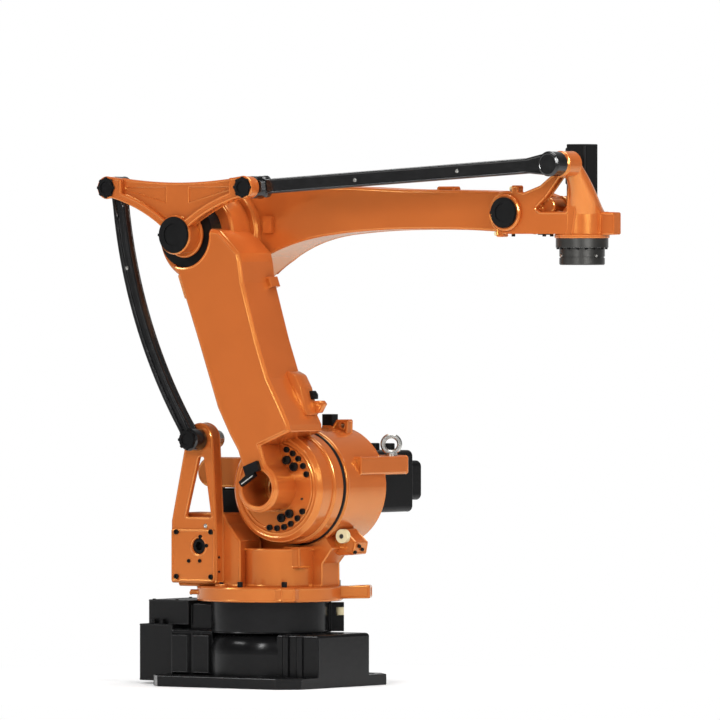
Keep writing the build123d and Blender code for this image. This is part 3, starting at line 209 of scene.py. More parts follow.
class Finish(Board):
    """The node tree of one material, with the patterns that the finishes share."""

    def __init__(self, name):
        self.material = bpy.data.materials.get(name) or bpy.data.materials.new(name)
        self.material.use_nodes = True
        super().__init__(self.material.node_tree)
        self.tree.nodes.clear()
        self.place = self.add("ShaderNodeTexCoord", out="Object")

    def noise(self, scale, detail=2.0, stretch=None):
        """Soft noise with this many patches a metre."""
        place = self.place
        if stretch is not None:
            place = self.add("ShaderNodeMapping", None, {"Vector": place, "Scale": stretch})
        return self.add(
            "ShaderNodeTexNoise", None, {"Vector": place, "Scale": scale, "Detail": detail}, out="Fac"
        )

    def facing_up(self):
        """How far the surface faces up, from 0 to 1."""
        normal = self.add("ShaderNodeNewGeometry", out="Normal")
        height = self.add("ShaderNodeSeparateXYZ", None, {"Vector": normal}, out="Z")
        return self.ramp(height, (0.55, 0.0), (0.95, 1.0))

    def hollows(self, reach):
        """How far the surface lies in a hollow of its own piece, from 0 to 1."""
        open_share = self.add(
            "ShaderNodeAmbientOcclusion", {"only_local": True, "samples": 6}, {"Distance": reach}, out="AO"
        )
        return 1.0 - open_share

    def bump(self, height, depth):
        """A normal from heights that are worth this many metres."""
        return self.add("ShaderNodeBump", None, {"Strength": 1.0, "Distance": depth, "Height": height})

    def surface(self, sockets):
        """Ends the tree in one shader."""
        shader = self.add("ShaderNodeBsdfPrincipled", None, sockets)
        self.add("ShaderNodeOutputMaterial", None, {"Surface": shader})
        return self.material


def clear(colour):
    """A colour with full cover."""
    return (*colour, 1.0)


def shade(colour, level):
    """A colour at a share of its level, with full cover."""
    return (*(level * part for part in colour), 1.0)


def orange_paint(name, colours):
    """Glossy machine paint: a soft unevenness below, orange peel on top, painted shade in hollows."""
    finish = Finish(name)
    cast = finish.noise(7.0, 3.0)
    peel = finish.noise(320.0, 1.0)
    patches = finish.ramp(cast, (0.35, 0.0), (0.68, 1.0))
    tone = finish.mix(patches, shade(colours.orange, 0.96), clear(colours.orange))
    # Painted shade: the colour darkens towards a deeper orange in the hollows of the piece.
    depth = finish.hollows(0.12) * 0.85
    base = finish.mix(depth, tone, clear(colours.orange_painted_shade))
    return finish.surface({
        "Base Color": base,
        "Metallic": colours.orange_metal,
        "Roughness": 0.17 + 0.07 * cast,
        "Specular IOR Level": 1.5,
        "Specular Tint": (1.0, 0.82, 0.22, 1.0),
        "Coat Weight": 0.25,
        "Coat Roughness": 0.07,
        "Normal": finish.bump(0.5 * cast + 0.03 * peel, 0.0010),
    })


def base_black(name, colours):
    """Satin black paint over a rough casting, with a trace of dust on top."""
    finish = Finish(name)
    cast = finish.noise(42.0, 4.0)
    grain = finish.noise(420.0, 2.0)
    dust = finish.facing_up() * finish.ramp(finish.noise(16.0, 5.0), (0.45, 0.0), (0.75, 1.0))
    base = finish.mix(0.10 * dust, clear(colours.black), clear(colours.dust))
    return finish.surface({
        "Base Color": base,
        "Roughness": 0.18 + 0.08 * cast + 0.20 * dust,
        "Specular IOR Level": 0.22,
        "Normal": finish.bump(0.20 * cast + 0.03 * grain, 0.0010),
    })


def box_black(name, colours):
    """Powder-coated sheet metal: fine even texture, duller than the casting."""
    finish = Finish(name)
    grain = finish.noise(640.0, 3.0)
    cloud = finish.noise(12.0, 3.0)
    base = finish.mix(cloud, shade(colours.black, 0.7), shade(colours.black, 1.2))
    return finish.surface({
        "Base Color": base,
        "Roughness": 0.34 + 0.12 * cloud,
        "Specular IOR Level": 0.25,
        "Normal": finish.bump(0.5 * grain, 0.0006),
    })


def rod_black(name, colours):
    """Glossy black paint on drawn bar."""
    finish = Finish(name)
    drawn = finish.noise(30.0, 3.0)
    peel = finish.noise(360.0, 1.0)
    streaks = finish.ramp(drawn, (0.4, 0.0), (0.7, 1.0))
    base = finish.mix(streaks, clear(colours.black), shade(colours.black, 1.6))
    return finish.surface({
        "Base Color": base,
        "Roughness": 0.12 + 0.10 * drawn,
        "Specular IOR Level": 0.60,
        "Normal": finish.bump(0.5 * drawn + 0.08 * peel, 0.0008),
    })


def cap_black(name, colours):
    """Matte moulded cover with a fine spark-eroded grain."""
    finish = Finish(name)
    grain = finish.noise(900.0, 2.0)
    cloud = finish.noise(24.0, 3.0)
    base = finish.mix(cloud, shade(colours.black, 0.5), shade(colours.black, 1.0))
    return finish.surface({
        "Base Color": base,
        "Roughness": 0.36 + 0.14 * cloud,
        "Specular IOR Level": 0.15,
        "Normal": finish.bump(0.5 * grain, 0.0006),
    })


def motor_black(name, colours):
    """Black anodised motor housing with faint drawn lines."""
    finish = Finish(name)
    drawn = finish.noise(10.0, 3.0, (30.0, 2.0, 30.0))
    grain = finish.noise(700.0, 2.0)
    base = finish.mix(drawn, shade(colours.black, 0.7), shade(colours.black, 1.4))
    return finish.surface({
        "Base Color": base,
        "Metallic": 0.25,
        "Roughness": 0.34 + 0.16 * drawn,
        "Specular IOR Level": 0.18,
        "Normal": finish.bump(0.3 * grain + 0.2 * drawn, 0.0005),
    })


def steel_dark(name, colours):
    """Dark machined steel with turning marks."""
    finish = Finish(name)
    marks = finish.noise(60.0, 3.0, (1.0, 1.0, 12.0))
    cloud = finish.noise(18.0, 3.0)
    base = finish.mix(cloud, shade(colours.steel, 0.07), shade(colours.steel, 0.13))
    return finish.surface({
        "Base Color": base,
        "Metallic": 0.85,
        "Roughness": 0.30 + 0.16 * marks,
        "Specular IOR Level": 0.20,
        "Normal": finish.bump(0.4 * marks, 0.0004),
    })


def steel_bright(name, colours):
    """Zinc-plated steel, a little cloudy."""
    finish = Finish(name)
    cloud = finish.noise(55.0, 4.0)
    base = finish.mix(cloud, shade(colours.steel, 0.80), clear(colours.steel))
    return finish.surface({
        "Base Color": base,
        "Metallic": 0.95,
        "Roughness": 0.18 + 0.16 * cloud,
        "Normal": finish.bump(0.25 * cloud, 0.0004),
    })


def cream_plastic(name, colours):
    """Cream moulded plastic, with a little painted shade in its hollows."""
    finish = Finish(name)
    cloud = finish.noise(60.0, 3.0)
    tone = finish.mix(cloud, shade(colours.cream, 0.93), clear(colours.cream))
    # Painted shade: the colour darkens in the hollows of the piece.
    base = finish.mix(0.6 * finish.hollows(0.02), tone, shade(colours.cream, 0.45))
    return finish.surface({
        "Base Color": base,
        "Roughness": 0.38 + 0.12 * cloud,
        "Normal": finish.bump(0.3 * cloud, 0.0003),
    })


FINISHES = {
    "orange_paint": orange_paint,
    "base_black": base_black,
    "box_black": box_black,
    "rod_black": rod_black,
    "cap_black": cap_black,
    "motor_black": motor_black,
    "steel_dark": steel_dark,
    "steel_bright": steel_bright,
    "cream_plastic": cream_plastic,
}
BOX_NODES = ("connection_box", "terminal_box")


def finished(slot):
    """The material made for a slot of the record."""
    return bpy.data.materials["robot_" + slot]


def node_finish(node):
    """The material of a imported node: its slot's, or powder coat on the sheet metal boxes."""
    return finished("box_black" if node in BOX_NODES else NODE_SLOT[node])


class RobotColours(bpy.types.PropertyGroup):
    """Colours of the robot's finishes."""

    orange: FloatVectorProperty(
        name="Orange",
        description="Colour of the painted castings",
        subtype="COLOR",
        default=(0.49, 0.108, 0.022),
    )
    # The deeper orange that the painted shade in hollows darkens towards.
    orange_painted_shade: FloatVectorProperty(
        name="Deep orange",
        description="Colour of the paint in hollows",
        subtype="COLOR",
        default=(0.28, 0.034, 0.004),
    )
    orange_metal: FloatProperty(
        name="Metal flake",
        description="Metallic share of the orange paint",
        default=0.14,
        min=0.0,
        max=1.0,
    )
    black: FloatVectorProperty(
        name="Black",
        description="Colour of base, rods, covers and motors",
        subtype="COLOR",
        default=(0.0045, 0.0045, 0.0048),
    )
    dust: FloatVectorProperty(
        name="Dust",
        description="Colour of the dust on the base",
        subtype="COLOR",
        default=(0.060, 0.058, 0.055),
    )
    steel: FloatVectorProperty(
        name="Steel",
        description="Colour of bare and plated steel",
        subtype="COLOR",
        default=(0.62, 0.61, 0.58),
    )
    cream: FloatVectorProperty(
        name="Cream",
        description="Colour of plugs and buffers",
        subtype="COLOR",
        default=(0.68, 0.60, 0.36),
    )


class RobotScrews(bpy.types.PropertyGroup):
    """Sizes of the robot's screws and rounded edges."""

    sides: IntProperty(name="Sides", description="Sides of a round screw head", default=20, min=6, max=48)
    hub_outer: FloatProperty(
        name="Outer hub circle",
        description="Radius of the outer screw circle on the hub",
        unit="LENGTH",
        default=0.174,
    )
    hub_inner: FloatProperty(
        name="Inner hub circle",
        description="Radius of the inner screw circle on the hub",
        unit="LENGTH",
        default=0.133,
    )
    small_head: FloatProperty(
        name="Small head",
        description="Radius of a small socket head",
        unit="LENGTH",
        default=0.013,
    )
    large_head: FloatProperty(
        name="Large head",
        description="Radius of a large socket head",
        unit="LENGTH",
        default=0.019,
    )
    bracket_head: FloatProperty(
        name="Bracket head",
        description="Radius of the heads on the rod bracket",
        unit="LENGTH",
        default=0.0110,
    )
    bracket_small: FloatProperty(
        name="Small bracket head",
        description="Radius of the small heads on the rod bracket",
        unit="LENGTH",
        default=0.008,
    )
    ring_head: FloatProperty(
        name="Ring head",
        description="Radius of the bolts on the turntable",
        unit="LENGTH",
        default=0.012,
    )
    rod_head: FloatProperty(
        name="Rod head",
        description="Radius of the bright screws on the rods",
        unit="LENGTH",
        default=0.008,
    )
    casting_rim: FloatProperty(
        name="Casting rim",
        description="Radius of the rounded edges of the orange castings and the rods",
        unit="LENGTH",
        default=0.0065,
    )
    cover_rim: FloatProperty(
        name="Cover rim",
        description="Radius of the rounded edges of base, boxes and motors",
        unit="LENGTH",
        default=0.0040,
    )


class RobotStudio(bpy.types.PropertyGroup):
    """Camera and floor round the robot."""

    azimuth: FloatProperty(
        name="Azimuth",
        description="Turn of the camera round the robot",
        unit="ROTATION",
        default=math.radians(36.0),
    )
    distance: FloatProperty(
        name="Distance",
        description="Distance of the camera from the turning axis",
        unit="LENGTH",
        default=45.0,
    )
    height: FloatProperty(name="Height", description="Height of the camera", unit="LENGTH", default=1.931)
    focal: FloatProperty(
        name="Focal length",
        description="Focal length in widths of the picture",
        default=FOCAL_PIXELS / PICTURE_WIDTH,
    )
    pan: FloatProperty(
        name="Pan",
        description="Turn of the camera to the right of the axis",
        unit="ROTATION",
        default=math.atan(PAN_PIXELS / FOCAL_PIXELS),
    )
    tilt: FloatProperty(
        name="Tilt",
        description="Turn of the camera below the horizon",
        unit="ROTATION",
        default=math.atan(TILT_PIXELS / FOCAL_PIXELS),
    )
    floor: FloatVectorProperty(
        name="Floor",
        description="Colour of the floor",
        subtype="COLOR",
        default=(0.86, 0.86, 0.86),
    )


def as_piece(name, mesh, body, slot):
    """Links a finished mesh to the scene, on a body and with a finish of the record."""
    if not mesh.polygons:
        raise RuntimeError(name + " came out empty")
    form = bmesh.new()
    form.from_mesh(mesh)
    bmesh.ops.recalc_face_normals(form, faces=form.faces[:])
    form.to_mesh(mesh)
    form.free()
    mesh.shade_smooth()
    mesh.set_sharp_from_angle(angle=SMOOTH_ANGLE)
    piece = bpy.data.objects.new(name, mesh)
    bpy.context.scene.collection.objects.link(piece)
    if not mesh.materials:
        mesh.materials.append(finished(slot))
    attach(piece, body)
    return piece


def grown(name, start, tree, values):
    """The plain mesh that a node tree makes from a start mesh and these values."""
    holder = bpy.data.objects.new(name + "_start", start)
    bpy.context.scene.collection.objects.link(holder)
    modifier = holder.modifiers.new("grown", "NODES")
    modifier.node_group = tree
    for item in tree.interface.items_tree:
        if item.name in values:
            modifier[item.identifier] = values[item.name]
    seen = holder.evaluated_get(bpy.context.evaluated_depsgraph_get())
    mesh = bpy.data.meshes.new_from_object(seen)
    mesh.name = name
    bpy.data.objects.remove(holder)
    return mesh


def screw_tree():
    """The node tree that puts a round screw head with a six-sided socket on every point."""
    name = "robot_screws"
    if name in bpy.data.node_groups:
        return bpy.data.node_groups[name]
    tree = bpy.data.node_groups.new(name, "GeometryNodeTree")
    face = tree.interface
    face.new_socket("Points", in_out="INPUT", socket_type="NodeSocketGeometry")
    face.new_socket("Sides", in_out="INPUT", socket_type="NodeSocketInt")
    for label in ("Head radius", "Head height", "Edge", "Socket radius", "Socket depth"):
        face.new_socket(label, in_out="INPUT", socket_type="NodeSocketFloat")
    face.new_socket("Axis", in_out="INPUT", socket_type="NodeSocketVector")
    face.new_socket("Finish", in_out="INPUT", socket_type="NodeSocketMaterial")
    face.new_socket("Screws", in_out="OUTPUT", socket_type="NodeSocketGeometry")
    board = Board(tree)
    asked = tree.nodes.new("NodeGroupInput")
    given = {socket.name: Wire(board, socket) for socket in asked.outputs if socket.name}
    radius = given["Head radius"]
    height = given["Head height"]
    barrel = tree.nodes.new("GeometryNodeMeshCylinder")
    barrel.fill_type = "NGON"
    board.plug(barrel.inputs["Vertices"], given["Sides"])
    board.plug(barrel.inputs["Radius"], radius)
    board.plug(barrel.inputs["Depth"], height - given["Edge"])
    crown = tree.nodes.new("GeometryNodeExtrudeMesh")
    board.plug(crown.inputs["Mesh"], Wire(board, barrel.outputs["Mesh"]))
    board.plug(crown.inputs["Selection"], Wire(board, barrel.outputs["Top"]))
    board.plug(crown.inputs["Offset Scale"], given["Edge"])
    head = board.add(
        "GeometryNodeScaleElements",
        {"domain": "FACE"},
        {
            "Geometry": Wire(board, crown.outputs["Mesh"]),
            "Selection": Wire(board, crown.outputs["Top"]),
            "Scale": 1.0 - given["Edge"] / radius,
        },
    )
    recess = board.add(
        "GeometryNodeMeshCylinder",
        {"fill_type": "NGON"},
        {"Vertices": 6, "Radius": given["Socket radius"], "Depth": 2.0 * given["Socket depth"]},
    )
    lift = board.add("ShaderNodeCombineXYZ", None, {"Z": 0.5 * (height + given["Edge"])})
    recess = board.add("GeometryNodeTransform", None, {"Geometry": recess, "Translation": lift})
    head = board.add(
        "GeometryNodeMeshBoolean",
        {"operation": "DIFFERENCE", "solver": "EXACT"},
        {"Mesh 1": head, "Mesh 2": recess},
    )
    seat = board.add("ShaderNodeCombineXYZ", None, {"Z": 0.5 * (height - given["Edge"])})
    head = board.add("GeometryNodeTransform", None, {"Geometry": head, "Translation": seat})
    turn = board.add("FunctionNodeAlignRotationToVector", {"axis": "Z"}, {"Vector": given["Axis"]})
    spread = board.add(
        "GeometryNodeInstanceOnPoints",
        None,
        {"Points": given["Points"], "Instance": head, "Rotation": turn},
    )
    solid = board.add("GeometryNodeRealizeInstances", None, {"Geometry": spread})
    painted = board.add("GeometryNodeSetMaterial", None, {"Geometry": solid, "Material": given["Finish"]})
    board.add("NodeGroupOutput", None, {"Screws": painted})
    return tree


def screws(name, body, slot, places, axis, radius, height, socket=0.55):
    """Screw heads at places, along an axis, as one plain mesh that rides on a body."""
    points = bpy.data.meshes.new(name)
    points.from_pydata([Vector(place) - HEAD_SUNK * axis for place in places], [], [])
    values = {
        "Sides": bpy.context.scene.robot_screws.sides,
        "Head radius": radius,
        "Head height": height + HEAD_SUNK,
        "Edge": HEAD_EDGE * radius,
        "Socket radius": socket * radius,
        "Socket depth": SOCKET_DEPTH * height,
        "Axis": axis,
        "Finish": finished(slot),
    }
    return as_piece(name, grown(name, points, screw_tree(), values), body, slot)


def bead_tree():
    """The node tree that lays a round bead along a path, or along the sharp outer edges of a casting."""
    name = "robot_beads"
    if name in bpy.data.node_groups:
        return bpy.data.node_groups[name]
    tree = bpy.data.node_groups.new(name, "GeometryNodeTree")
    face = tree.interface
    face.new_socket("Form", in_out="INPUT", socket_type="NodeSocketGeometry")
    for label in ("Least angle", "Lowest", "Sunk", "Radius"):
        face.new_socket(label, in_out="INPUT", socket_type="NodeSocketFloat")
    face.new_socket("Sides", in_out="INPUT", socket_type="NodeSocketInt")
    face.new_socket("Finish", in_out="INPUT", socket_type="NodeSocketMaterial")
    face.new_socket("Beads", in_out="OUTPUT", socket_type="NodeSocketGeometry")
    board = Board(tree)
    asked = tree.nodes.new("NodeGroupInput")
    given = {socket.name: Wire(board, socket) for socket in asked.outputs if socket.name}
    outwards = board.add("GeometryNodeInputNormal")
    inwards = board.add(
        "ShaderNodeVectorMath", {"operation": "SCALE"}, {"Vector": outwards, "Scale": -1.0 * given["Sunk"]}
    )
    form = board.add("GeometryNodeSetPosition", None, {"Geometry": given["Form"], "Offset": inwards})
    bend = board.add("GeometryNodeInputMeshEdgeAngle", out="Signed Angle")
    place = board.add("GeometryNodeInputPosition")
    height = board.add("ShaderNodeSeparateXYZ", None, {"Vector": place}, out="Z")
    outer = board.math("GREATER_THAN", bend, given["Least angle"])
    free = board.add(
        "GeometryNodeInputNamedAttribute", {"data_type": "FLOAT"}, {"Name": "free"}, out="Attribute"
    )
    clear_edge = board.math("GREATER_THAN", free, 0.99)
    sharp = outer * clear_edge * board.math("GREATER_THAN", height, given["Lowest"])
    line = board.add("GeometryNodeMeshToCurve", None, {"Mesh": form, "Selection": sharp})
    section = board.add(
        "GeometryNodeCurvePrimitiveCircle",
        {"mode": "RADIUS"},
        {"Resolution": given["Sides"], "Radius": given["Radius"]},
    )
    bead = board.add(
        "GeometryNodeCurveToMesh", None, {"Curve": line, "Profile Curve": section, "Fill Caps": True}
    )
    solid = board.add("GeometryNodeRealizeInstances", None, {"Geometry": bead})
    painted = board.add("GeometryNodeSetMaterial", None, {"Geometry": solid, "Material": given["Finish"]})
    board.add("NodeGroupOutput", None, {"Beads": painted})
    return tree


def bead(name, body, slot, paths, radius, closed=False):
    """Round beads along paths of points, as one plain mesh that rides on a body."""
    points = []
    edges = []
    for path in paths:
        first = len(points)
        points.extend(path)
        edges.extend((first + step, first + step + 1) for step in range(len(path) - 1))
        if closed:
            edges.append((len(points) - 1, first))
    start = bpy.data.meshes.new(name)
    start.from_pydata(points, edges, [])
    start.attributes.new("free", "FLOAT", "POINT").data.foreach_set("value", [1.0] * len(points))
    values = {
        "Least angle": ANY_BEND,
        "Lowest": ANY_HEIGHT,
        "Sunk": 0.0,
        "Radius": radius,
        "Sides": BEAD_SIDES,
        "Finish": finished(slot),
    }
    return as_piece(name, grown(name, start, bead_tree(), values), body, slot)


def others(body):
    """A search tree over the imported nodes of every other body."""
    points = []
    faces = []
    for node, piece in frame["nodes"].items():
        if NODE_BODY[node] != body:
            first = len(points)
            points.extend(piece.matrix_world @ vertex.co for vertex in piece.data.vertices)
            faces.extend([first + corner for corner in face.vertices] for face in piece.data.polygons)
    return BVHTree.FromPolygons(points, faces)


def keep_inside(mesh):
    """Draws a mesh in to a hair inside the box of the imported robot."""
    low, high = CAD_BOX
    for vertex in mesh.vertices:
        vertex.co = [
            min(max(part, least + HAIR), most - HAIR) for part, least, most in zip(vertex.co, low, high)
        ]
    return mesh


def rounded_edges(node, radius, neighbours):
    """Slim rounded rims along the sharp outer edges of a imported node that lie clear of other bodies."""
    name = node + "_rims"
    start = bpy.data.meshes.new(name)
    form = bmesh.new()
    form.from_mesh(frame["nodes"][node].data)
    bmesh.ops.remove_doubles(form, verts=form.verts[:], dist=WELD)
    form.to_mesh(start)
    form.free()
    room = RIM_ROOM * radius
    free = []
    for vertex in start.vertices:
        place = vertex.co
        near_elbow = math.hypot(place.x - ELBOW.x, place.z - ELBOW.z) < ELBOW_GAP_REACH
        in_gap = near_elbow and ELBOW_GAP[0] < place.y < ELBOW_GAP[1]
        alone = neighbours.find_nearest(place, room)[0] is None
        free.append(1.0 if alone and not in_gap else 0.0)
    start.attributes.new("free", "FLOAT", "POINT").data.foreach_set("value", free)
    values = {
        "Least angle": SHARP_BEND,
        "Lowest": RIM_LOWEST * radius,
        "Sunk": RIM_SUNK * radius,
        "Radius": radius,
        "Sides": RIM_SIDES,
        "Finish": node_finish(node),
    }
    mesh = keep_inside(grown(name, start, bead_tree(), values))
    return as_piece(name, mesh, NODE_BODY[node], NODE_SLOT[node])


def slabs(name, body, slot, plates, thick, edge):
    """Plates with rounded edges: outlines of points, each raised along a vector."""
    form = bmesh.new()
    for outline in plates:
        low = [form.verts.new(point) for point in outline]
        high = [form.verts.new(Vector(point) + thick) for point in outline]
        form.faces.new(low)
        form.faces.new(reversed(high))
        for step in range(len(outline)):
            form.faces.new((low[step], low[step - 1], high[step - 1], high[step]))
    bmesh.ops.recalc_face_normals(form, faces=form.faces[:])
    bmesh.ops.bevel(form, geom=form.edges[:], offset=edge, segments=2, profile=0.5, affect="EDGES")
    mesh = bpy.data.meshes.new(name)
    form.to_mesh(mesh)
    form.free()
    return as_piece(name, mesh, body, slot)


def at(x, y, z):
    """A point from millimetres."""
    return 0.001 * Vector((x, y, z))


def oblong(centre, half_across, half_along):
    """The corners of a rectangle round a point."""
    return [
        centre + across * half_across + along * half_along
        for across, along in ((-1.0, -1.0), (1.0, -1.0), (1.0, 1.0), (-1.0, 1.0))
    ]


def ringed(centre, radius, degrees, across=FRONT, along=UP):
    """Points on a circle at these angles."""
    points = []
    for angle in degrees:
        turn = math.radians(angle)
        points.append(centre + radius * (math.cos(turn) * across + math.sin(turn) * along))
    return points


def outward(degrees):
    """The level direction at this turn from the front."""
    turn = math.radians(degrees)
    return Vector((math.cos(turn), math.sin(turn), 0.0))


class ROBOT_OT_finishes(bpy.types.Operator):
    """Make the finishes and put them on the castings, covers, rods and motors"""

    bl_idname = "robot.finishes"
    bl_label = "Paint the robot"

    def execute(self, context):
        for slot, make in FINISHES.items():
            make("robot_" + slot, context.scene.robot_colours)
        for node, piece in frame["nodes"].items():
            piece.data.materials.clear()
            piece.data.materials.append(node_finish(node))
        return {"FINISHED"}


class ROBOT_OT_rims(bpy.types.Operator):
    """Round the sharp outer edges of the castings, rods, boxes and motors"""

    bl_idname = "robot.rims"
    bl_label = "Rounded edges"

    def execute(self, context):
        sizes = context.scene.robot_screws
        radius = {
            "orange_paint": sizes.casting_rim,
            "rod_black": sizes.casting_rim,
            "base_black": sizes.cover_rim,
            "motor_black": sizes.cover_rim,
        }
        search = {body: others(body) for body in frame["record"]["behaviour"]["bodies"]}
        for node, slot in NODE_SLOT.items():
            if slot in radius:
                rounded_edges(node, radius[slot], search[NODE_BODY[node]])
        return {"FINISHED"}


class ROBOT_OT_hub_screws(bpy.types.Operator):
    """Add the screws, the plug, the lip and the lever of the link arm's hub, and the seal behind it"""

    bl_idname = "robot.hub_screws"
    bl_label = "Hub screws"

    def execute(self, context):
        sizes = context.scene.robot_screws
        face_depth = -0.190
        seam_depth = -0.028
        face = Vector((SHOULDER.x, face_depth, SHOULDER.z))
        outer = ringed(face, sizes.hub_outer, (-100, -87, -74.5, -62, -48, -35, 20, 33, 46, 58, 70))
        inner = ringed(face, sizes.hub_inner, (43, 63, -56, -76))
        screws("hub_outer_screws", "link", "cap_black", outer, NEAR, sizes.small_head, 0.013)
        screws("hub_inner_screws", "link", "cap_black", inner, NEAR, sizes.large_head, 0.016)
        screws("hub_plug", "link", "steel_dark", [at(306.9, -190, 808.5)], NEAR, 0.005, 0.005)
        lip = ringed(face, 0.178, range(171, 253, 3))
        bead("hub_lip", "link", "orange_paint", [lip], 0.004)
        seam = Vector((SHOULDER.x, seam_depth, SHOULDER.z))
        seal = ringed(seam, 0.2425, range(0, 360, 4))
        bead("shoulder_seal", "column", "cap_black", [seal], 0.0085, closed=True)
        along = Vector((0.857, 0.0, 0.515))
        across = Vector((-0.515, 0.0, 0.857))
        lever = oblong(at(133, -350, 890.2), 0.034 * along, 0.003 * across)
        slabs("hub_lever", "link", "steel_bright", [lever], 0.003 * NEAR, 0.0006)
        return {"FINISHED"}


class ROBOT_OT_link_fittings(bpy.types.Operator):
    """Add the raised shoulder, the lug and the plug on the front edge of the link arm's foot"""

    bl_idname = "robot.link_fittings"
    bl_label = "Link arm fittings"

    def execute(self, context):
        far = -92
        shoulder = (
            (205, 1354), (226, 1354), (262, 1338), (294, 1284),
            (306, 1240), (330, 1165), (280, 1165), (235, 1284),
        )
        lug = ((306, 1226), (358, 1228), (371, 1213), (347, 1176), (318, 1172))
        plug = ((290, 1268), (313, 1270), (326, 1254), (326, 1234), (297, 1232))
        for name, slot, corners, depth, thick, edge in (
            ("link_shoulder", "orange_paint", shoulder, far, 0.090, 0.010),
            ("link_lug", "orange_paint", lug, far, 0.026, 0.003),
            ("link_plug", "cap_black", plug, far - 4, 0.030, 0.003),
        ):
            outline = [at(x, depth, z) for x, z in corners]
            slabs(name, "link", slot, [outline], thick * NEAR, edge)
        return {"FINISHED"}


class ROBOT_OT_bracket_screws(bpy.types.Operator):
    """Add the screws and the plug of the rod bracket, and a black fill that paints shade in its hole"""

    bl_idname = "robot.bracket_screws"
    bl_label = "Bracket screws"

    def execute(self, context):
        sizes = context.scene.robot_screws
        pad = 1000.0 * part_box("rod_bracket")[0].y
        corners = [at(x, pad, z) for x, z in ((-309, 660), (-125, 662), (-309, 468), (-125, 469))]
        screws("bracket_screws", "column", "cap_black", corners, NEAR, sizes.bracket_head, 0.010)
        inner = [at(x, pad, z) for x, z in ((-183, 641), (-150, 603), (-244, 536), (-186, 537))]
        screws("bracket_small_screws", "column", "cap_black", inner, NEAR, sizes.bracket_small, 0.006)
        screws("bracket_plug", "column", "steel_bright", [at(-157, pad + 4.0, 687)], NEAR, 0.009, 0.005)
        # A black fill in the bracket's hole: painted shade, so that the hole looks dark.
        screws("bracket_core", "column", "cap_black", [at(-193, -205, 600)], NEAR, 0.034, 0.047, socket=0.6)
        side = [at(-105, -230, z) for z in (553, 491)]
        screws("bracket_side_screws", "column", "cap_black", side, FRONT, 0.005, 0.005)
        return {"FINISHED"}


class ROBOT_OT_turntable_fittings(bpy.types.Operator):
    """Add the bolts, the clamp and the peg of the turntable, and the bolts of the stop"""

    bl_idname = "robot.turntable_fittings"
    bl_label = "Turntable fittings"

    def execute(self, context):
        sizes = context.scene.robot_screws
        top = Vector((0.0, 0.0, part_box("turntable")[1].z))
        angles = (-80, -42, 33, 67, 104, 141, 178, -146)
        bolt_circle = 0.292
        places = ringed(top, bolt_circle, angles, FRONT, FAR)
        screws("turntable_bolts", "column", "cap_black", places, UP, sizes.ring_head, 0.024)
        seat = 1000.0 * top.z
        foot = oblong(at(-56, -276, seat), 0.026 * FRONT, 0.013 * FAR)
        slabs("turntable_clamp", "column", "orange_paint", [foot], 0.012 * UP, 0.003)
        bolt = at(-56, -276, seat + 12.0)
        screws("turntable_clamp_bolt", "column", "cap_black", [bolt], UP, 0.009, 0.008)
        out = outward(216.0)
        peg = 0.314 * out + 0.404 * UP
        screws("turntable_peg", "column", "orange_paint", [peg], out, 0.008, 0.028, socket=0.35)
        screws("buffer_screw", "column", "steel_dark", [at(367, 16, 645)], NEAR, 0.010, 0.004)
        stop = Vector((0.9785, 0.0, -0.2060))
        ends = [at(421, 65.5, 603), at(418, 92, 589), at(415, 43, 578)]
        screws("stop_bolts", "column", "cap_black", ends, stop, 0.008, 0.009)
        return {"FINISHED"}


class ROBOT_OT_rod_fittings(bpy.types.Operator):
    """Add the bright screws of the rods and the nubs round the pivot caps"""

    bl_idname = "robot.rod_fittings"
    bl_label = "Rod fittings"

    def execute(self, context):
        sizes = context.scene.robot_screws
        near_face = -315
        rear = [at(-532, near_face, 1793)]
        screws("rear_rod_screw", "rear_rod", "steel_bright", rear, NEAR, sizes.rod_head, 0.004)
        upper = [at(674, near_face, 2168), at(1202, near_face, 2204)]
        screws("upper_rod_screws", "upper_rod", "steel_bright", upper, NEAR, sizes.rod_head, 0.004)
        half_out, half_along, length, edge, sunk = 0.0045, 0.006, 0.008, 0.0012, 0.001
        round_cap = range(0, 360, 45)
        for node, angles in (
            ("crank_front_cap", round_cap),
            ("crank_rear_cap", round_cap),
            ("rod_foot_cap", round_cap),
            ("crank_hub_cap", (180,)),
            ("wrist_near_cap", (180,)),
        ):
            low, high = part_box(node)
            middle = 0.5 * (low + high)
            reach = 0.5 * (high.x - low.x)
            plates = []
            for out in ringed(Vector(), 1.0, angles):
                seat = Vector((middle.x, high.y - sunk, middle.z)) + reach * out
                plates.append(oblong(seat, half_out * out, half_along * out.cross(FAR)))
            slabs(node + "_nubs", NODE_BODY[node], "cap_black", plates, length * NEAR, edge)
        return {"FINISHED"}


class ROBOT_OT_wrist_fittings(bpy.types.Operator):
    """Add the fittings under the wrist, the screws of the gear ring and the pins of the tool flange"""

    bl_idname = "robot.wrist_fittings"
    bl_label = "Wrist fittings"

    def execute(self, context):
        under = 1939.7
        line = -92
        places = [at(x, line, under) for x in (1336, 1494, 1532)]
        screws("wrist_fittings", "wrist", "cap_black", places, DOWN, 0.008, 0.011)
        strip = oblong(at(1492, line, under + 1.0), 0.028 * FRONT, 0.006 * FAR)
        slabs("wrist_strip", "wrist", "cap_black", [strip], 0.005 * DOWN, 0.001)
        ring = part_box("tool_gear_ring")
        middle = 0.5 * (ring[0] + ring[1])
        lower = Vector((middle.x, middle.y, ring[0].z))
        heads = ringed(lower, 0.104, [22.5 * step for step in range(16)], FRONT, FAR)
        screws("gear_ring_screws", "wrist", "cap_black", heads, DOWN, 0.0055, 0.007)
        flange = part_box("tool_flange")
        reach = 0.5 * (flange[1].x - flange[0].x)
        pin_height = 1.848
        for count, angle in enumerate((-18.0, 122.0, 242.0)):
            out = outward(angle)
            place = Vector((middle.x, middle.y, pin_height)) + reach * out
            screws("flange_pin_%d" % count, "tool", "steel_bright", [place], out, 0.006, 0.005)
        return {"FINISHED"}


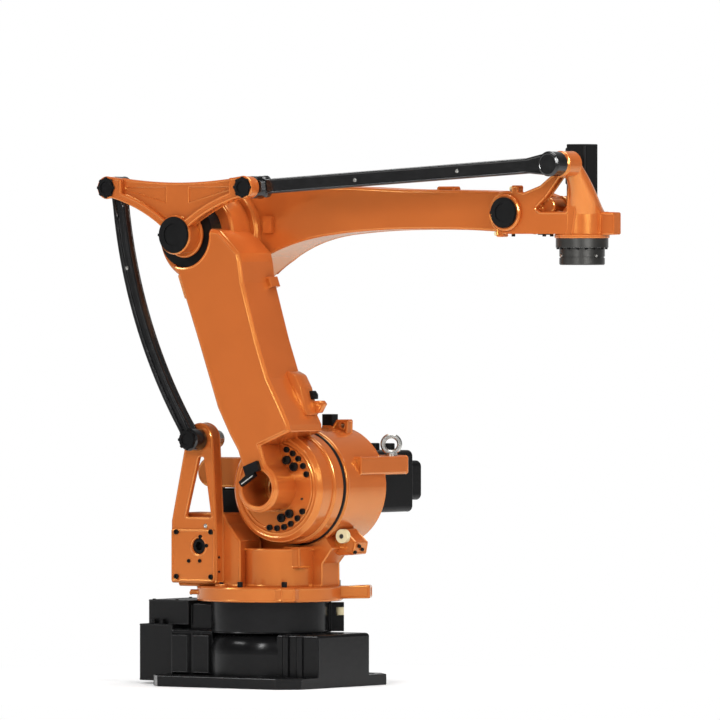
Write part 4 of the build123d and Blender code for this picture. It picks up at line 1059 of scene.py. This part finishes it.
class ROBOT_OT_motor_fittings(bpy.types.Operator):
    """Add the screws and plug sockets of the motors and the lid screws of the boxes"""

    bl_idname = "robot.motor_fittings"
    bl_label = "Motor and box fittings"

    def execute(self, context):
        for node, axis, inset, head in (
            ("shoulder_motor", FAR, 0.024, 0.012),
            ("elbow_motor", FAR, 0.018, 0.009),
            ("turn_motor", UP, 0.016, 0.008),
        ):
            low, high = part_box(node)
            places = []
            for x in (low.x + inset, high.x - inset):
                if axis == UP:
                    places.extend(Vector((x, y, high.z)) for y in (low.y + inset, high.y - inset))
                else:
                    places.extend(Vector((x, high.y, z)) for z in (low.z + inset, high.z - inset))
            screws(node + "_screws", NODE_BODY[node], "steel_dark", places, axis, head, 0.8 * head)
        sockets = [at(130, 590, 1003), at(210, 590, 1003)]
        screws("shoulder_motor_sockets", "column", "cap_black", sockets, UP, 0.024, 0.030, socket=0.7)
        sockets = [at(-248, 360, 2014), at(-198, 360, 2014)]
        screws("elbow_motor_sockets", "arm", "cap_black", sockets, UP, 0.018, 0.024, socket=0.7)
        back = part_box("connection_box")[0].x
        lid = [Vector((back, y, z)) for y in (-0.158, 0.158) for z in (0.040, 0.232)]
        screws("connection_box_screws", "base", "steel_dark", lid, -FRONT, 0.007, 0.005)
        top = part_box("terminal_box")[1].z
        lid = [Vector((x, y, top)) for x in (-0.522, -0.400) for y in (-0.132, 0.132)]
        screws("terminal_box_screws", "base", "steel_dark", lid, UP, 0.007, 0.005)
        return {"FINISHED"}


# Each lamp's name, place, width, height and power. All of them point at the middle of the robot.
LAMPS = (
    ("key_lamp", (-3.8, -6.0, 4.6), 2.6, 0.7, 120.0),
    ("front_lamp", (2.5, -7.2, 3.9), 0.6, 2.4, 220.0),
    ("top_lamp", (1.0, 0.5, 7.0), 4.0, 4.0, 300.0),
    ("side_lamp", (6.5, -3.0, 3.5), 2.4, 2.4, 230.0),
)
LAMP_AIM = Vector((0.4, 0.0, 1.2))
FLOOR_RADIUS = 14.0
FLOOR_DROP = 0.0005
WHITE = (1.0, 1.0, 1.0, 1.0)


class ROBOT_OT_studio(bpy.types.Operator):
    """Set up the floor, the lamps and the camera"""

    bl_idname = "robot.studio"
    bl_label = "Studio"

    def execute(self, context):
        scene = context.scene
        studio = scene.robot_studio
        scene.view_settings.view_transform = "Standard"
        self.light_world(scene, studio)
        self.lay_floor(scene, studio)
        for name, place, width, height, power in LAMPS:
            lamp = bpy.data.lights.new(name, "AREA")
            lamp.shape = "RECTANGLE"
            lamp.size = width
            lamp.size_y = height
            lamp.energy = power
            holder = bpy.data.objects.new(name, lamp)
            holder.location = place
            aim = LAMP_AIM - Vector(place)
            holder.rotation_euler = aim.to_track_quat("-Z", "Y").to_euler()
            scene.collection.objects.link(holder)
        self.set_camera(scene, studio)
        return {"FINISHED"}

    def light_world(self, scene, studio):
        """A soft room, white to the camera and brighter above, with a bright backdrop for what shines."""
        world = bpy.data.worlds.new("studio_world")
        world.use_nodes = True
        scene.world = world
        board = Board(world.node_tree)
        board.tree.nodes.clear()
        sight = board.tree.nodes.new("ShaderNodeLightPath")
        direct = Wire(board, sight.outputs["Is Camera Ray"])
        through = Wire(board, sight.outputs["Is Transmission Ray"])
        seen = board.math("MAXIMUM", direct, through)
        glossy = Wire(board, sight.outputs["Is Glossy Ray"])
        look = board.add("ShaderNodeTexCoord", out="Generated")
        height = 0.5 + 0.5 * board.add("ShaderNodeSeparateXYZ", None, {"Vector": look}, out="Z")
        room = board.ramp(height, (0.30, 0.16), (0.50, 0.32), (0.80, 0.70))
        behind = board.add(
            "ShaderNodeVectorMath",
            {"operation": "DOT_PRODUCT"},
            {0: look, 1: (-math.sin(studio.azimuth), math.cos(studio.azimuth), 0.0)},
            out="Value",
        )
        backdrop = board.ramp(0.5 + 0.5 * behind, (0.68, 0.25), (0.95, 1.0))
        shine = board.ramp(height, (0.30, 0.35), (0.49, 0.90), (0.52, 1.0), (0.62, 0.45), (0.85, 0.30))
        strength = seen + (1.0 - seen) * (glossy * backdrop * shine + (1.0 - glossy) * room)
        back = board.add("ShaderNodeBackground", None, {"Color": WHITE, "Strength": strength})
        board.add("ShaderNodeOutputWorld", None, {"Surface": back})

    def lay_floor(self, scene, studio):
        """A pale floor that turns to plain white away from the robot."""
        form = bmesh.new()
        bmesh.ops.create_circle(form, cap_ends=True, radius=FLOOR_RADIUS, segments=96)
        mesh = bpy.data.meshes.new("studio_floor")
        form.to_mesh(mesh)
        form.free()
        floor = bpy.data.objects.new("studio_floor", mesh)
        floor.location.z = -FLOOR_DROP
        scene.collection.objects.link(floor)
        finish = Finish("studio_floor")
        sight = finish.tree.nodes.new("ShaderNodeLightPath")
        direct = Wire(finish, sight.outputs["Is Camera Ray"])
        distance = finish.add(
            "ShaderNodeVectorMath", {"operation": "LENGTH"}, {0: finish.place}, out="Value"
        )
        away = direct * finish.ramp(distance / 4.0, (0.15, 0.0), (0.55, 1.0))
        matte = finish.add("ShaderNodeBsdfDiffuse", None, {"Color": clear(studio.floor)})
        white = finish.add("ShaderNodeEmission", None, {"Color": WHITE, "Strength": 1.0})
        both = finish.add("ShaderNodeMixShader", None, {0: away, 1: matte, 2: white})
        finish.add("ShaderNodeOutputMaterial", None, {"Surface": both})
        mesh.materials.append(finish.material)

    def set_camera(self, scene, studio):
        """The long lens of the picture."""
        lens = bpy.data.cameras.new("photo_camera")
        lens.sensor_width = 36.0
        lens.lens = lens.sensor_width * studio.focal
        lens.clip_end = 4.0 * studio.distance
        camera = bpy.data.objects.new("photo_camera", lens)
        side = studio.azimuth
        reach = studio.distance
        camera.location = (reach * math.sin(side), -reach * math.cos(side), studio.height)
        camera.rotation_euler = (0.5 * math.pi - studio.tilt, 0.0, side - studio.pan)
        scene.collection.objects.link(camera)
        scene.camera = camera


PIECES = (
    ROBOT_OT_finishes,
    ROBOT_OT_rims,
    ROBOT_OT_hub_screws,
    ROBOT_OT_link_fittings,
    ROBOT_OT_bracket_screws,
    ROBOT_OT_turntable_fittings,
    ROBOT_OT_rod_fittings,
    ROBOT_OT_wrist_fittings,
    ROBOT_OT_motor_fittings,
    ROBOT_OT_studio,
)


class ROBOT_PT_panel(bpy.types.Panel):
    """Lists the robot's pieces and sizes"""

    bl_idname = "ROBOT_PT_panel"
    bl_label = "Robot arm"
    bl_space_type = "VIEW_3D"
    bl_region_type = "UI"
    bl_category = "Robot arm"

    def draw(self, context):
        layout = self.layout
        for piece in PIECES:
            layout.operator(piece.bl_idname)
        for group in (context.scene.robot_colours, context.scene.robot_screws, context.scene.robot_studio):
            column = layout.box().column()
            for name in group.bl_rna.properties.keys():
                if name not in ("rna_type", "name"):
                    column.prop(group, name)


GROUPS = {"robot_colours": RobotColours, "robot_screws": RobotScrews, "robot_studio": RobotStudio}


def register():
    for kind in (*GROUPS.values(), *PIECES, ROBOT_PT_panel):
        bpy.utils.register_class(kind)
    for name, kind in GROUPS.items():
        setattr(bpy.types.Scene, name, PointerProperty(type=kind))


def unregister():
    for name in GROUPS:
        delattr(bpy.types.Scene, name)
    for kind in (ROBOT_PT_panel, *reversed(PIECES), *GROUPS.values()):
        bpy.utils.unregister_class(kind)


def main():
    register()
    bpy.ops.robot.finishes()
    bpy.ops.robot.rims()
    bpy.ops.robot.hub_screws()
    bpy.ops.robot.link_fittings()
    bpy.ops.robot.bracket_screws()
    bpy.ops.robot.turntable_fittings()
    bpy.ops.robot.rod_fittings()
    bpy.ops.robot.wrist_fittings()
    bpy.ops.robot.motor_fittings()
    bpy.ops.robot.studio()


if __name__ == "__main__":
    main()
